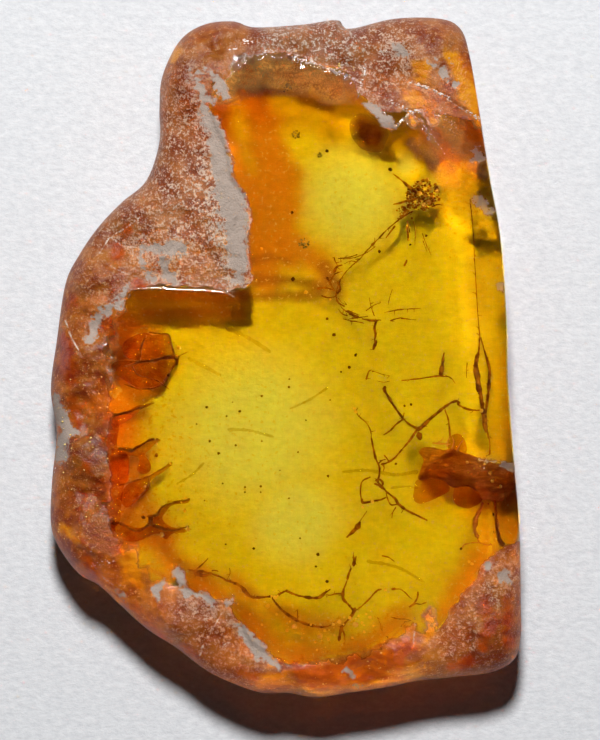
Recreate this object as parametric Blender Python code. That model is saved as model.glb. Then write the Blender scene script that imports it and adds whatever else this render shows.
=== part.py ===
"""A slab of raw amber, polished on its broad faces, with a spider's web sealed inside it.

The stone is parted level with its edge into an upper and a lower half, which close on a
shallow pocket that holds the web, its debris and a flake of bark. Sizes are in millimetres
and are turned into metres where each mesh is made. The stone lies on its flat underside,
with its long side along Y and the middle of its outline over the origin.
"""
import bmesh
import bpy
import numpy
from mathutils import Vector, geometry, noise

MM = 0.001

# Driving dimensions of the stone.
WIDTH = 32.0
LENGTH = 46.2
THICKNESS = 7.6
EDGE_LEVEL = 3.6
PART_GAP = 0.3
POCKET_DEPTH = 1.15

# Edge of the stone, anticlockwise from its top left corner.
OUTLINE = (
    (-3.5, 22.8), (-5.5, 22.6), (-7.2, 21.5), (-8.4, 19.1), (-8.6, 16.8), (-8.6, 14.6),
    (-9.5, 12.0), (-11.2, 10.5), (-12.8, 8.8), (-14.1, 6.9), (-15.0, 5.0), (-15.6, 1.1),
    (-16.0, -2.2), (-15.6, -5.1), (-15.9, -8.2), (-16.0, -11.2), (-15.5, -12.8),
    (-14.1, -14.7), (-12.7, -15.5), (-11.2, -16.9), (-9.4, -18.5), (-7.5, -19.7),
    (-5.5, -21.2), (-3.7, -22.1), (-1.6, -22.8), (0.2, -22.8), (2.0, -23.1), (4.3, -22.8),
    (7.0, -22.4), (8.9, -22.0), (11.7, -21.7), (14.0, -21.4), (15.5, -20.6), (16.0, -19.1),
    (16.0, -15.8), (15.9, -11.7), (15.5, -7.0), (15.1, -1.8), (15.0, 2.5), (14.6, 8.0),
    (13.9, 11.9), (13.3, 15.7), (12.5, 20.4), (11.9, 22.3), (10.5, 23.0), (7.4, 23.0),
    (4.3, 22.3), (3.5, 22.9), (1.2, 22.6), (-2.1, 22.4),
)

# Shoulders at places round the edge: x, y, width above, width below, and how far the
# shoulder above is a cut facet (1) or a natural round (0).
SHOULDERS = (
    (-4.0, 22.6, 2.0, 2.2, 0.0), (-8.6, 16.5, 3.4, 3.4, 0.0), (-11.4, 10.2, 4.6, 4.0, 0.0),
    (-15.2, 4.0, 5.4, 4.4, 0.0), (-15.7, -5.0, 5.0, 4.6, 0.0), (-15.9, -11.5, 4.4, 4.4, 0.0),
    (-10.5, -17.6, 3.6, 3.8, 0.0), (-2.0, -22.6, 3.0, 3.2, 0.0), (6.0, -22.6, 3.0, 3.0, 0.0),
    (13.5, -21.5, 3.6, 3.2, 0.0), (16.0, -16.5, 3.4, 1.4, 0.2), (15.6, -8.0, 2.2, 0.25, 1.0),
    (15.1, 1.0, 2.3, 0.25, 1.0), (14.3, 10.0, 2.4, 0.25, 1.0), (13.0, 17.5, 2.4, 0.3, 0.9),
    (8.5, 23.0, 3.4, 2.8, 0.0), (2.0, 22.7, 2.4, 2.4, 0.0),
)
FACET_START = 0.9
ROUNDNESS = 2.6
WALL_DEPTH = 0.16

# The polished window in the upper face. Outside it the stone keeps its weathered crust.
WINDOW = (
    (13.4, -6.7), (13.1, 0.5), (12.8, 4.9), (12.6, 11.0), (10.8, 13.1), (9.7, 14.6),
    (8.9, 16.2), (7.8, 15.5), (6.6, 16.1), (5.5, 16.8), (4.7, 18.2), (4.0, 19.1), (2.3, 19.5),
    (1.0, 20.0), (-0.2, 20.3), (-1.6, 20.3), (-2.9, 19.7), (-4.0, 18.7), (-4.7, 17.5),
    (-4.8, 16.2), (-3.9, 14.1), (-3.5, 12.1), (-2.3, 10.3), (-2.5, 7.7), (-2.5, 4.7),
    (-6.1, 4.6), (-9.8, 4.6), (-10.7, 3.2), (-11.3, 1.2), (-11.5, -3.0), (-11.5, -7.0),
    (-11.3, -11.1), (-10.3, -13.3), (-7.2, -15.0), (-4.8, -16.0), (-3.1, -17.3),
    (-2.0, -19.2), (0.6, -20.2), (3.1, -20.0), (5.1, -19.5), (6.6, -18.8), (8.2, -17.8),
    (9.9, -18.5), (11.5, -16.3), (12.9, -14.2), (13.7, -12.4),
)

# How far the crust lies below the window's edge: x, y, drop.
LEDGES = (
    (-6.0, 5.0, 0.42), (-2.2, 8.0, 0.14), (-4.5, 14.0, 0.14), (-3.8, 19.2, 0.06),
    (0.0, 20.5, 0.18), (4.5, 18.8, 0.24), (7.5, 16.0, 0.18), (11.0, 13.5, 0.06),
    (13.2, 4.0, 0.0), (13.4, -6.0, 0.0), (12.8, -14.5, 0.10), (9.9, -18.6, 0.12),
    (5.0, -19.6, 0.10), (1.5, -20.2, 0.10), (-2.6, -18.5, 0.10), (-8.0, -14.8, 0.08),
    (-11.2, -11.0, 0.0), (-11.4, -8.0, 0.0), (-11.4, -3.0, 0.0), (-11.3, 1.0, 0.02),
)
LEDGE_RUN = 0.28

# Lumps (positive) and hollows (negative) in the crust: x, y, radius, height. The relief
# fades out near the stone's edge, near the window and in from the shoulder below.
LUMPS = (
    (-6.9, 19.4, 1.5, 0.5), (-6.6, 15.6, 1.4, -0.45), (-4.9, 10.6, 1.7, 0.35),
    (-8.0, 10.2, 1.8, 0.5), (-7.6, 6.6, 1.7, 0.4), (-11.4, 7.6, 1.6, -0.5),
    (-12.9, 5.4, 1.3, 0.5), (-12.4, 2.2, 1.2, -0.6), (-14.0, 0.2, 1.1, 0.5),
    (-13.4, -3.6, 1.3, -0.5), (-14.2, -6.6, 1.3, 0.5), (-13.4, -9.4, 1.3, -0.4),
    (-13.6, -12.2, 1.4, 0.6), (-10.4, -15.6, 1.3, -0.4), (-7.4, -17.2, 1.6, 0.5),
    (-3.8, -19.6, 1.3, -0.4), (-1.0, -21.4, 1.2, 0.4), (2.2, -21.2, 1.4, 0.3),
    (5.4, -20.8, 1.2, -0.5), (8.4, -20.0, 1.4, 0.5), (11.4, -19.2, 1.6, -0.3),
    (13.8, -17.4, 1.4, 0.4), (10.4, 20.4, 1.8, 0.4), (7.4, 18.6, 1.4, -0.6),
    (4.4, 20.8, 1.1, 0.5), (0.6, 21.6, 0.9, 0.4), (11.6, 16.4, 1.3, -0.4),
)
GRAIN_HEIGHT = 0.36
GRAIN_SIZE = 2.1
EDGE_FADE = 1.2
WINDOW_FADE = 1.4
UNDER_FADE = 1.5
UNDER_LUMPS = 0.5

# Pocket in the parting plane, round everything that is sealed in the stone.
POCKET = (
    (-7.9, -13.7), (-7.8, -15.6), (-4.0, -16.8), (-1.5, -17.9), (0.5, -19.0), (3.5, -19.9),
    (5.6, -18.8), (9.2, -17.3), (12.0, -13.0), (14.0, -11.0), (14.5, -8.5), (14.4, -4.0),
    (14.0, 2.0), (13.4, 7.9), (11.7, 12.5), (9.4, 12.8), (7.0, 11.2), (4.2, 8.2), (2.2, 4.6),
    (2.4, 1.0), (3.4, -4.5), (3.2, -11.6), (-1.0, -13.4),
)

# Spacing of the mesh on the crust, on the flat faces, along the lines that cross them and
# round the pocket, and how deep the rings of points inside the stone's edge lie.
CRUST_STEP = 0.82
FLAT_STEP = 4.2
LINE_STEP = 0.95
POCKET_STEP = 2.0
RING_DEPTHS = (0.12, 0.42, 0.95)

# Threads of the web: each is a row of points x, y, z, and threads that share a point join.
RIGHT_WEB = (
    ((6.4, -1.9, 4.3), (7.2, -3.0, 4.0), (8.1, -4.2, 3.8), (8.9, -4.9, 3.7)),
    ((8.1, -4.2, 3.8), (7.4, -4.7, 3.5), (6.6, -5.3, 3.3)),
    ((8.9, -4.9, 3.7), (9.7, -4.2, 3.7), (10.5, -3.6, 3.8), (11.3, -3.1, 3.9), (12.0, -3.4, 3.9),
     (13.0, -3.6, 4.0)),
    ((10.5, -3.6, 3.8), (11.0, -4.4, 3.6), (11.1, -5.2, 3.5)),
    ((8.9, -4.9, 3.7), (8.4, -5.7, 3.6), (7.9, -6.4, 3.5), (7.1, -7.0, 3.4), (6.4, -7.3, 3.4)),
    ((4.7, -3.5, 3.1), (5.4, -4.3, 3.2), (5.8, -5.1, 3.2), (6.0, -6.2, 3.3), (6.4, -7.3, 3.4)),
    ((6.4, -7.3, 3.4), (6.5, -8.4, 3.5), (6.8, -9.3, 3.6), (7.5, -9.8, 3.7), (8.4, -10.4, 3.8),
     (9.4, -11.0, 4.0), (9.7, -11.7, 4.1)),
    ((6.4, -7.3, 3.4), (5.5, -8.2, 3.2), (5.2, -9.0, 3.1), (5.5, -9.8, 3.1)),
    ((8.9, -4.9, 3.7), (8.7, -3.7, 4.0), (9.1, -2.5, 4.2), (10.5, -1.2, 4.3), (10.8, 0.1, 4.3)),
    ((10.5, -1.2, 4.3), (11.3, -1.6, 4.3)),
)
RIGHT_KNOTS = ((6.4, -1.9, 4.3, 0.3), (8.9, -4.9, 3.7, 0.24), (6.4, -7.3, 3.4, 0.26),
               (10.5, -3.6, 3.8, 0.2), (4.7, -3.5, 3.1, 0.3), (9.7, -11.7, 4.1, 0.24))

LOWER_WEB = (
    ((-7.0, -14.6, 3.3), (-5.8, -14.5, 3.4), (-4.4, -14.9, 3.4), (-3.2, -15.4, 3.5),
     (-2.1, -16.2, 3.6), (-1.1, -16.2, 3.6), (-0.2, -16.0, 3.6), (0.8, -16.3, 3.6),
     (2.0, -16.4, 3.5), (3.8, -16.0, 3.5)),
    ((-1.1, -16.2, 3.6), (-0.2, -17.1, 3.5), (0.9, -17.9, 3.4), (2.8, -18.3, 3.3)),
    ((3.8, -16.0, 3.5), (4.7, -17.0, 3.6), (4.3, -17.8, 3.7), (3.6, -18.8, 3.8)),
    ((3.8, -16.0, 3.5), (4.1, -15.2, 3.3), (4.7, -14.2, 3.1), (4.6, -13.4, 3.0)),
    ((4.7, -17.0, 3.6), (5.7, -16.4, 3.7), (6.3, -15.7, 3.8), (7.4, -15.7, 3.8),
     (8.2, -16.1, 3.9)),
)
LOWER_KNOTS = ((3.8, -16.0, 3.5, 0.22), (4.7, -17.0, 3.6, 0.22), (-1.1, -16.2, 3.6, 0.22),
               (-7.0, -14.6, 3.3, 0.2))

UPPER_WEB = (
    ((8.0, 9.3, 3.8), (7.4, 9.0, 3.8), (6.6, 8.4, 3.7), (5.9, 7.7, 3.6), (5.0, 6.7, 3.5),
     (4.2, 5.9, 3.4), (3.5, 4.9, 3.4), (3.3, 3.9, 3.4), (4.0, 3.1, 3.4), (4.9, 2.6, 3.5),
     (6.2, 2.5, 3.5), (6.1, 1.6, 3.6), (5.9, 0.6, 3.6)),
)
UPPER_KNOTS = ((4.9, 2.6, 3.5, 0.3), (5.9, 0.6, 3.6, 0.24), (6.6, 8.4, 3.7, 0.2))

SIDE_THREAD = (
    ((12.4, 7.0, 4.2), (12.7, 4.6, 4.2), (13.0, 2.2, 4.1), (13.2, 0.6, 4.1), (13.4, -1.4, 4.0),
     (13.2, -2.8, 4.0)),
)
SIDE_KNOTS = ((13.4, -1.4, 4.0, 0.42), (13.2, 0.6, 4.1, 0.24), (12.4, 7.0, 4.2, 0.12))
THREAD_RADIUS = 0.14

# The flake of bark, a plume with ragged barbs to the right, and the ridges along it.
BARK = (
    (9.1, -6.4), (9.4, -6.1), (10.2, -6.2), (10.8, -6.3), (11.3, -6.2), (12.1, -6.5),
    (12.8, -6.7), (13.4, -7.0), (13.8, -7.2), (14.0, -7.6), (14.0, -8.1), (13.9, -8.8),
    (13.6, -9.4), (12.9, -9.8), (12.4, -10.3), (11.9, -10.1), (11.4, -9.6), (11.3, -9.2),
    (10.9, -9.3), (10.2, -9.6), (9.5, -9.9), (8.8, -9.7), (8.8, -9.1), (9.1, -8.2),
    (9.3, -7.3), (9.3, -6.8),
)
BARK_LEVEL = 3.4
BARK_THICKNESS = 0.9
BARK_RIB_SPACING = 0.62

# The clump of debris at the head of the upper threads: middle and half sizes.
DEBRIS_PLACE = (9.5, 10.9, 3.9)
DEBRIS_SIZE = (1.15, 0.72, 0.5)
DEBRIS_LUMPS = 0.36


def closed_curve(points, step):
    """Points about one step apart along a smooth closed curve through the given points."""
    rows = numpy.array([point[:2] for point in points], dtype=float)
    before, after = numpy.roll(rows, 1, axis=0), numpy.roll(rows, -1, axis=0)
    beyond = numpy.roll(rows, -2, axis=0)
    share = numpy.linspace(0.0, 1.0, 16, endpoint=False)[:, None, None]
    fine = 0.5 * (2.0 * rows + (after - before) * share
                  + (2.0 * before - 5.0 * rows + 4.0 * after - beyond) * share**2
                  + (3.0 * rows - before - 3.0 * after + beyond) * share**3)
    fine = fine.transpose(1, 0, 2).reshape(-1, 2)
    loop = numpy.vstack([fine, fine[:1]])
    along = numpy.concatenate([[0.0], numpy.cumsum(numpy.hypot(*numpy.diff(loop, axis=0).T))])
    places = numpy.linspace(0.0, along[-1], max(8, round(along[-1] / step)), endpoint=False)
    return numpy.stack([numpy.interp(places, along, loop[:, axis]) for axis in (0, 1)], axis=1)


def offset(loop, depth):
    """The closed loop moved inwards by a depth."""
    along = numpy.roll(loop, -1, axis=0) - numpy.roll(loop, 1, axis=0)
    inward = numpy.stack([-along[:, 1], along[:, 0]], axis=1)
    return loop + inward / numpy.linalg.norm(inward, axis=1)[:, None] * depth


def distance(points, loop):
    """Shortest distance from each point to the closed loop."""
    ends = numpy.roll(loop, -1, axis=0)
    run = ends - loop
    length = (run**2).sum(axis=1)
    nearest = numpy.full(len(points), numpy.inf)
    for start, step, square in zip(loop, run, length):
        gap = points - start
        share = numpy.clip((gap @ step) / square, 0.0, 1.0)
        away = gap - share[:, None] * step
        nearest = numpy.minimum(nearest, (away**2).sum(axis=1))
    return numpy.sqrt(nearest)


def inside(points, loop):
    """True for each point within the closed loop."""
    ends = numpy.roll(loop, -1, axis=0)
    within = numpy.zeros(len(points), dtype=bool)
    for (x0, y0), (x1, y1) in zip(loop, ends):
        if y0 == y1:
            continue
        crosses = (y0 > points[:, 1]) != (y1 > points[:, 1])
        within ^= crosses & (points[:, 0] < x0 + (points[:, 1] - y0) * (x1 - x0) / (y1 - y0))
    return within


def blend(points, rows):
    """Each row's values, blended by how near the row's place is to each point."""
    table = numpy.array(rows, dtype=float)
    away = ((points[:, None, :] - table[None, :, :2])**2).sum(axis=2)
    weight = 1.0 / (away + 0.2)**2
    return (weight @ table[:, 2:]) / weight.sum(axis=1)[:, None]


def smooth(value):
    """A share from 0 to 1, eased at both ends."""
    share = numpy.clip(value, 0.0, 1.0)
    return share * share * (3.0 - 2.0 * share)


def fitted_outline():
    """The stone's edge at the driving width and length, with its middle at the origin."""
    loop = closed_curve(OUTLINE, 0.25)
    low, high = loop.min(axis=0), loop.max(axis=0)
    return (loop - (low + high) / 2.0) * numpy.array([WIDTH, LENGTH]) / (high - low)


STONE = fitted_outline()
RIM = closed_curve(STONE[::4], LINE_STEP)
CLEAR = closed_curve(WINDOW, 0.3)


def crust_relief(points):
    """Height of the crust's own lumps and grain, above or below its even surface."""
    height = numpy.zeros(len(points))
    for x, y, radius, lump in LUMPS:
        away = ((points - (x, y))**2).sum(axis=1) / radius**2
        height += lump * numpy.exp(-away)
    for index, (x, y) in enumerate(points):
        height[index] += GRAIN_HEIGHT * noise.fractal(
            Vector((x / GRAIN_SIZE, y / GRAIN_SIZE, 2.7)), 1.0, 2.0, 3)
    return height


def round_shoulder(depth, width):
    """Share of the full height that a rounded shoulder reaches at each depth in from the edge."""
    share = numpy.clip(depth / width, 0.0, 1.0)
    return (1.0 - (1.0 - share)**ROUNDNESS)**(1.0 / ROUNDNESS)


def upper_height(points):
    """Height of the upper face at each point."""
    depth = distance(points, STONE)
    width, facet = blend(points, SHOULDERS)[:, [0, 2]].T
    wall = round_shoulder(depth, WALL_DEPTH)
    cut = FACET_START * wall + (1.0 - FACET_START) * numpy.clip(depth / width, 0.0, 1.0)
    rise = round_shoulder(depth, width) * (1.0 - facet) + cut * facet
    base = EDGE_LEVEL + PART_GAP / 2.0
    height = base + (THICKNESS - base) * rise
    past_ledge = numpy.where(inside(points, CLEAR), 0.0, distance(points, CLEAR))
    crust = smooth(past_ledge / LEDGE_RUN)
    from_edge = smooth(depth / EDGE_FADE)
    height -= blend(points, LEDGES)[:, 0] * crust * from_edge
    height += crust_relief(points) * smooth(past_ledge / WINDOW_FADE) * from_edge * (1.0 - facet)
    return numpy.clip(height, base, THICKNESS)


def lower_height(points):
    """Height of the underside at each point: flat in the middle, with a lumpy round edge."""
    depth = distance(points, STONE)
    width = blend(points, SHOULDERS)[:, 1]
    base = EDGE_LEVEL - PART_GAP / 2.0
    height = base * (1.0 - round_shoulder(depth, width))
    shoulder = smooth((width - depth) / UNDER_FADE) * smooth(depth / EDGE_FADE)
    height += UNDER_LUMPS * crust_relief(points[:, ::-1]) * shoulder
    return numpy.clip(height, 0.0, base)


def honeycomb(step):
    """Rows of points a step apart over the whole stone, each row shifted by half a step."""
    rows = numpy.arange(-LENGTH / 2.0, LENGTH / 2.0, step * 0.866)
    columns = numpy.arange(-WIDTH / 2.0, WIDTH / 2.0, step)
    return numpy.array([(x + step / 2.0 * (index % 2), y)
                        for index, y in enumerate(rows) for x in columns])


def triangulate(loops, loose):
    """Triangles within the first loop that keep every loop's lines and use the loose points."""
    points = numpy.vstack(list(loops) + [loose])
    edges = []
    start = 0
    for loop in loops:
        count = len(loop)
        edges += [(start + index, start + (index + 1) % count) for index in range(count)]
        start += count
    result = geometry.delaunay_2d_cdt([Vector(point) for point in points], edges, [], 0, 1e-5)
    found = numpy.array([tuple(point) for point in result[0]])
    middles = numpy.array([found[list(face)].mean(axis=0) for face in result[2]])
    kept = inside(middles, loops[0])
    return found, [face for face, keep in zip(result[2], kept) if keep]


def broad_face(flat_line, lines):
    """Points and triangles of a broad face, close together only where it isn't flat."""
    rings = [RIM] + [offset(RIM, depth) for depth in RING_DEPTHS]
    crust, flat = honeycomb(CRUST_STEP), honeycomb(FLAT_STEP)
    crust = crust[~inside(crust, flat_line)]
    flat = flat[inside(flat, flat_line) & (distance(flat, flat_line) > FLAT_STEP / 3.0)]
    loose = numpy.vstack([crust, flat])
    away = RING_DEPTHS[-1] + CRUST_STEP * 0.45
    loose = loose[inside(loose, STONE) & (distance(loose, STONE) > away)]
    for line in lines:
        loose = loose[distance(loose, line) > CRUST_STEP * 0.4]
    return triangulate(rings + lines, loose)


def within_rim(loop, depth):
    """The part of a loop that keeps a depth from the stone's edge, moved in where it is nearer."""
    near = distance(loop, STONE) < depth
    moved = loop.copy()
    middle = loop.mean(axis=0)
    for _ in range(40):
        moved[near] += (middle - moved[near]) * 0.01
        near = distance(moved, STONE) < depth
    return moved


def solid(name, points, faces):
    """An object whose mesh is the closed surface of the given points and faces."""
    shape = bmesh.new()
    corners = [shape.verts.new(Vector(point) * MM) for point in points]
    for face in faces:
        shape.faces.new([corners[index] for index in face])
    bmesh.ops.remove_doubles(shape, verts=shape.verts, dist=1e-7)
    bmesh.ops.dissolve_degenerate(shape, edges=shape.edges, dist=1e-8)
    bmesh.ops.triangulate(shape, faces=shape.faces)
    bmesh.ops.recalc_face_normals(shape, faces=shape.faces)
    mesh = bpy.data.meshes.new(name)
    shape.to_mesh(mesh)
    shape.free()
    mesh.shade_smooth()
    mesh.set_sharp_from_angle(angle=0.6)
    thing = bpy.data.objects.new(name, mesh)
    bpy.context.scene.collection.objects.link(thing)
    return thing


def half_stone(name, surface, level, pocket_end):
    """Half of the stone: a broad face, the parting face at a level, and half of the pocket."""
    flat, faces, height = surface
    pocket = closed_curve(POCKET, POCKET_STEP)
    ring, cap = triangulate([RIM, pocket], numpy.zeros((0, 2)))
    middles = numpy.array([ring[list(face)].mean(axis=0) for face in cap])
    in_pocket = inside(middles, pocket)
    points = [(x, y, z) for (x, y), z in zip(flat, height)]
    triangles = list(faces)
    start = len(points)
    points += [(x, y, level) for x, y in ring]
    triangles += [[start + index for index in face]
                  for face, hollow in zip(cap, in_pocket) if not hollow]
    start = len(points)
    points += [(x, y, pocket_end) for x, y in ring]
    triangles += [[start + index for index in face]
                  for face, hollow in zip(cap, in_pocket) if hollow]
    start = len(points)
    count = len(pocket)
    points += [(x, y, z) for z in (level, pocket_end) for x, y in pocket]
    for index in range(count):
        after = (index + 1) % count
        triangles.append([start + index, start + after, start + count + after,
                          start + count + index])
    return solid(name, points, triangles)


def upper_half():
    """The upper half of the stone, with the polished window and the crust that stands below it."""
    ledge = within_rim(closed_curve(WINDOW, LINE_STEP), RING_DEPTHS[-1] + 0.5)
    foot = within_rim(offset(ledge, -LEDGE_RUN), RING_DEPTHS[-1] + 0.25)
    points, faces = broad_face(offset(ledge, 0.4), [ledge, foot])
    surface = (points, faces, edge_kept(points, upper_height(points), EDGE_LEVEL + PART_GAP / 2.0))
    level = EDGE_LEVEL + PART_GAP / 2.0
    return half_stone("amber_front", surface, level, EDGE_LEVEL + POCKET_DEPTH)


def lower_half():
    """The lower half of the stone, which rests on its flat underside."""
    widest = max(row[3] for row in SHOULDERS)
    points, faces = broad_face(offset(RIM, widest), [])
    surface = (points, faces, edge_kept(points, lower_height(points), EDGE_LEVEL - PART_GAP / 2.0))
    level = EDGE_LEVEL - PART_GAP / 2.0
    return half_stone("amber_back", surface, level, EDGE_LEVEL - POCKET_DEPTH)


def edge_kept(points, height, level):
    """The heights, with every point of the stone's edge put exactly at a level."""
    return numpy.where(distance(points, RIM) < 1e-3, level, height)


def web(name, threads, knots):
    """Threads of a web as one solid, thicker where a knot is listed."""
    places = []
    links = []
    for thread in threads:
        for point in thread:
            if point not in places:
                places.append(point)
        links += [(places.index(start), places.index(end))
                  for start, end in zip(thread, thread[1:])]
    thick = {knot[:3]: knot[3] for knot in knots}
    mesh = bpy.data.meshes.new(name)
    mesh.from_pydata([Vector(place) * MM for place in places], links, [])
    thing = bpy.data.objects.new(name, mesh)
    bpy.context.scene.collection.objects.link(thing)
    skin = thing.modifiers.new("threads", "SKIN")
    skin.branch_smoothing = 0.3
    shape = bmesh.new()
    shape.from_mesh(mesh)
    layer = shape.verts.layers.skin.verify()
    for corner, place in zip(shape.verts, places):
        radius = thick.get(place, THREAD_RADIUS) * MM
        corner[layer].radius = (radius, radius)
        corner[layer].use_root = place == places[0]
    shape.to_mesh(mesh)
    shape.free()
    return thing


def bark_flake():
    """The flake of bark: a thin lens with ribs that run along it."""
    loop = closed_curve(BARK, 0.45)
    loose = honeycomb(0.55)
    loose = loose[inside(loose, loop) & (distance(loose, loop) > 0.25)]
    flat, faces = triangulate([loop], loose)
    rise = smooth(distance(flat, loop) / 0.9)
    ribs = 0.5 + 0.5 * numpy.cos((flat[:, 1] - 0.35 * flat[:, 0]) * 6.283 / BARK_RIB_SPACING)
    half = BARK_THICKNESS / 2.0 * (0.3 + 0.7 * rise) * (0.65 + 0.35 * ribs)
    count = len(flat)
    points = [(x, y, BARK_LEVEL + side * thick) for side in (1.0, -1.0)
              for (x, y), thick in zip(flat, half)]
    triangles = list(faces) + [[count + index for index in face[::-1]] for face in faces]
    on_edge = numpy.flatnonzero(distance(flat, loop) < 1e-4)
    order = {index: int(numpy.argmin(((loop - flat[index])**2).sum(axis=1))) for index in on_edge}
    edge = sorted(on_edge, key=order.get)
    for index, after in zip(edge, edge[1:] + edge[:1]):
        triangles.append([index, after, count + after, count + index])
    return solid("bark_flake", points, triangles)


def debris_clump():
    """The clump of debris: a lumpy pellet."""
    shape = bmesh.new()
    bmesh.ops.create_icosphere(shape, subdivisions=3, radius=1.0)
    for corner in shape.verts:
        swell = 1.0 + DEBRIS_LUMPS * noise.noise(corner.co * 2.1 + Vector((5.0, 1.0, 3.0)))
        corner.co = Vector([place + size * value * swell for place, size, value
                            in zip(DEBRIS_PLACE, DEBRIS_SIZE, corner.co)]) * MM
    mesh = bpy.data.meshes.new("debris_clump")
    shape.to_mesh(mesh)
    shape.free()
    mesh.shade_smooth()
    thing = bpy.data.objects.new("debris_clump", mesh)
    bpy.context.scene.collection.objects.link(thing)
    return thing


def finish(thing, colour, roughness, clear):
    """Give an object its own material."""
    material = bpy.data.materials.new(thing.name)
    material.use_nodes = True
    shader = material.node_tree.nodes["Principled BSDF"]
    shader.inputs["Base Color"].default_value = (*colour, 1.0)
    shader.inputs["Roughness"].default_value = roughness
    shader.inputs["Metallic"].default_value = 0.0
    shader.inputs["IOR"].default_value = 1.54
    shader.inputs["Transmission Weight"].default_value = clear
    thing.data.materials.append(material)


def main():
    """Make every piece of the stone and what it holds."""
    for thing in list(bpy.data.objects):
        bpy.data.objects.remove(thing, do_unlink=True)
    for half in (upper_half(), lower_half()):
        finish(half, (0.85, 0.45, 0.02), 0.06, 0.9)
    threads = (
        web("web_right", RIGHT_WEB, RIGHT_KNOTS),
        web("web_lower", LOWER_WEB, LOWER_KNOTS),
        web("web_upper", UPPER_WEB, UPPER_KNOTS),
        web("side_thread", SIDE_THREAD, SIDE_KNOTS),
    )
    for thread in threads:
        finish(thread, (0.22, 0.08, 0.01), 0.6, 0.0)
    finish(bark_flake(), (0.16, 0.03, 0.005), 0.5, 0.0)
    finish(debris_clump(), (0.12, 0.05, 0.01), 0.7, 0.0)


main()
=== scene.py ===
"""Looks of a slab of raw amber with a spider's web sealed in it, lying on pale paper.

Shapes are in millimetres and are turned into metres where each mesh is made. Light, paper and
camera are in metres.
"""
import math
import random
import bmesh
import bpy
import numpy
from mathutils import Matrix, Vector, geometry, noise


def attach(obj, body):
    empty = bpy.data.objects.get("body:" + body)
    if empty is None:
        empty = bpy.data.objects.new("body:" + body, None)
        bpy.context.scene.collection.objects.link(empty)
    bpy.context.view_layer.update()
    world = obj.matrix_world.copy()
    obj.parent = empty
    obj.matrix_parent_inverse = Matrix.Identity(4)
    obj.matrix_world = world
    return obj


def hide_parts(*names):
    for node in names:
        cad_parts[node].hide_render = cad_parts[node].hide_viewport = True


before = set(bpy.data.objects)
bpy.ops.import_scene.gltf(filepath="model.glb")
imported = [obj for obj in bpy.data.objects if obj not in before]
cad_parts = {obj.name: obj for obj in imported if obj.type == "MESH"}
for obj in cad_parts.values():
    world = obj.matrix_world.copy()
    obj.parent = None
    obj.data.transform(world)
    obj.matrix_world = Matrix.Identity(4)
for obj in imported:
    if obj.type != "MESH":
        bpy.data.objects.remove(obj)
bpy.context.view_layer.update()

MM = 0.001

# Seeds of the random draws, for the grains and barbs and for the pale grains that paint highlights.
GRAIN_SEED = 11
PAINTED_SPARKLE_SEED = 5

# Driving dimensions of the stone, as the solids have them.
WIDTH = 32.0
LENGTH = 46.2
THICKNESS = 7.6
EDGE_LEVEL = 3.6

# Edge of the stone, anticlockwise from its top left corner.
OUTLINE = (
    (-3.5, 22.8), (-5.5, 22.6), (-7.2, 21.5), (-8.4, 19.1), (-8.6, 16.8), (-8.6, 14.6),
    (-9.5, 12.0), (-11.2, 10.5), (-12.8, 8.8), (-14.1, 6.9), (-15.0, 5.0), (-15.6, 1.1),
    (-16.0, -2.2), (-15.6, -5.1), (-15.9, -8.2), (-16.0, -11.2), (-15.5, -12.8),
    (-14.1, -14.7), (-12.7, -15.5), (-11.2, -16.9), (-9.4, -18.5), (-7.5, -19.7),
    (-5.5, -21.2), (-3.7, -22.1), (-1.6, -22.8), (0.2, -22.8), (2.0, -23.1), (4.3, -22.8),
    (7.0, -22.4), (8.9, -22.0), (11.7, -21.7), (14.0, -21.4), (15.5, -20.6), (16.0, -19.1),
    (16.0, -15.8), (15.9, -11.7), (15.5, -7.0), (15.1, -1.8), (15.0, 2.5), (14.6, 8.0),
    (13.9, 11.9), (13.3, 15.7), (12.5, 20.4), (11.9, 22.3), (10.5, 23.0), (7.4, 23.0),
    (4.3, 22.3), (3.5, 22.9), (1.2, 22.6), (-2.1, 22.4),
)

# Shoulders at places round the edge: x, y, width above, width below, share that is a cut facet.
SHOULDERS = (
    (-4.0, 22.6, 2.0, 2.2, 0.0), (-8.6, 16.5, 3.4, 3.4, 0.0), (-11.4, 10.2, 4.6, 4.0, 0.0),
    (-15.2, 4.0, 5.4, 4.4, 0.0), (-15.7, -5.0, 5.0, 4.6, 0.0), (-15.9, -11.5, 4.4, 4.4, 0.0),
    (-10.5, -17.6, 3.6, 3.8, 0.0), (-2.0, -22.6, 3.0, 3.2, 0.0), (6.0, -22.6, 3.0, 3.0, 0.0),
    (13.5, -21.5, 3.6, 3.2, 0.0), (16.0, -16.5, 3.4, 1.4, 0.2), (15.6, -8.0, 2.2, 0.25, 1.0),
    (15.1, 1.0, 2.3, 0.25, 1.0), (14.3, 10.0, 2.4, 0.25, 1.0), (13.0, 17.5, 2.4, 0.3, 0.9),
    (8.5, 23.0, 3.4, 2.8, 0.0), (2.0, 22.7, 2.4, 2.4, 0.0),
)
FACET_START = 0.9
ROUNDNESS = 2.6
WALL_DEPTH = 0.16

# The y up to which the crust draws back from the cut side, and how far it does.
CUT_TOP = 17.0
CUT_BACK = 8.0

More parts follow.
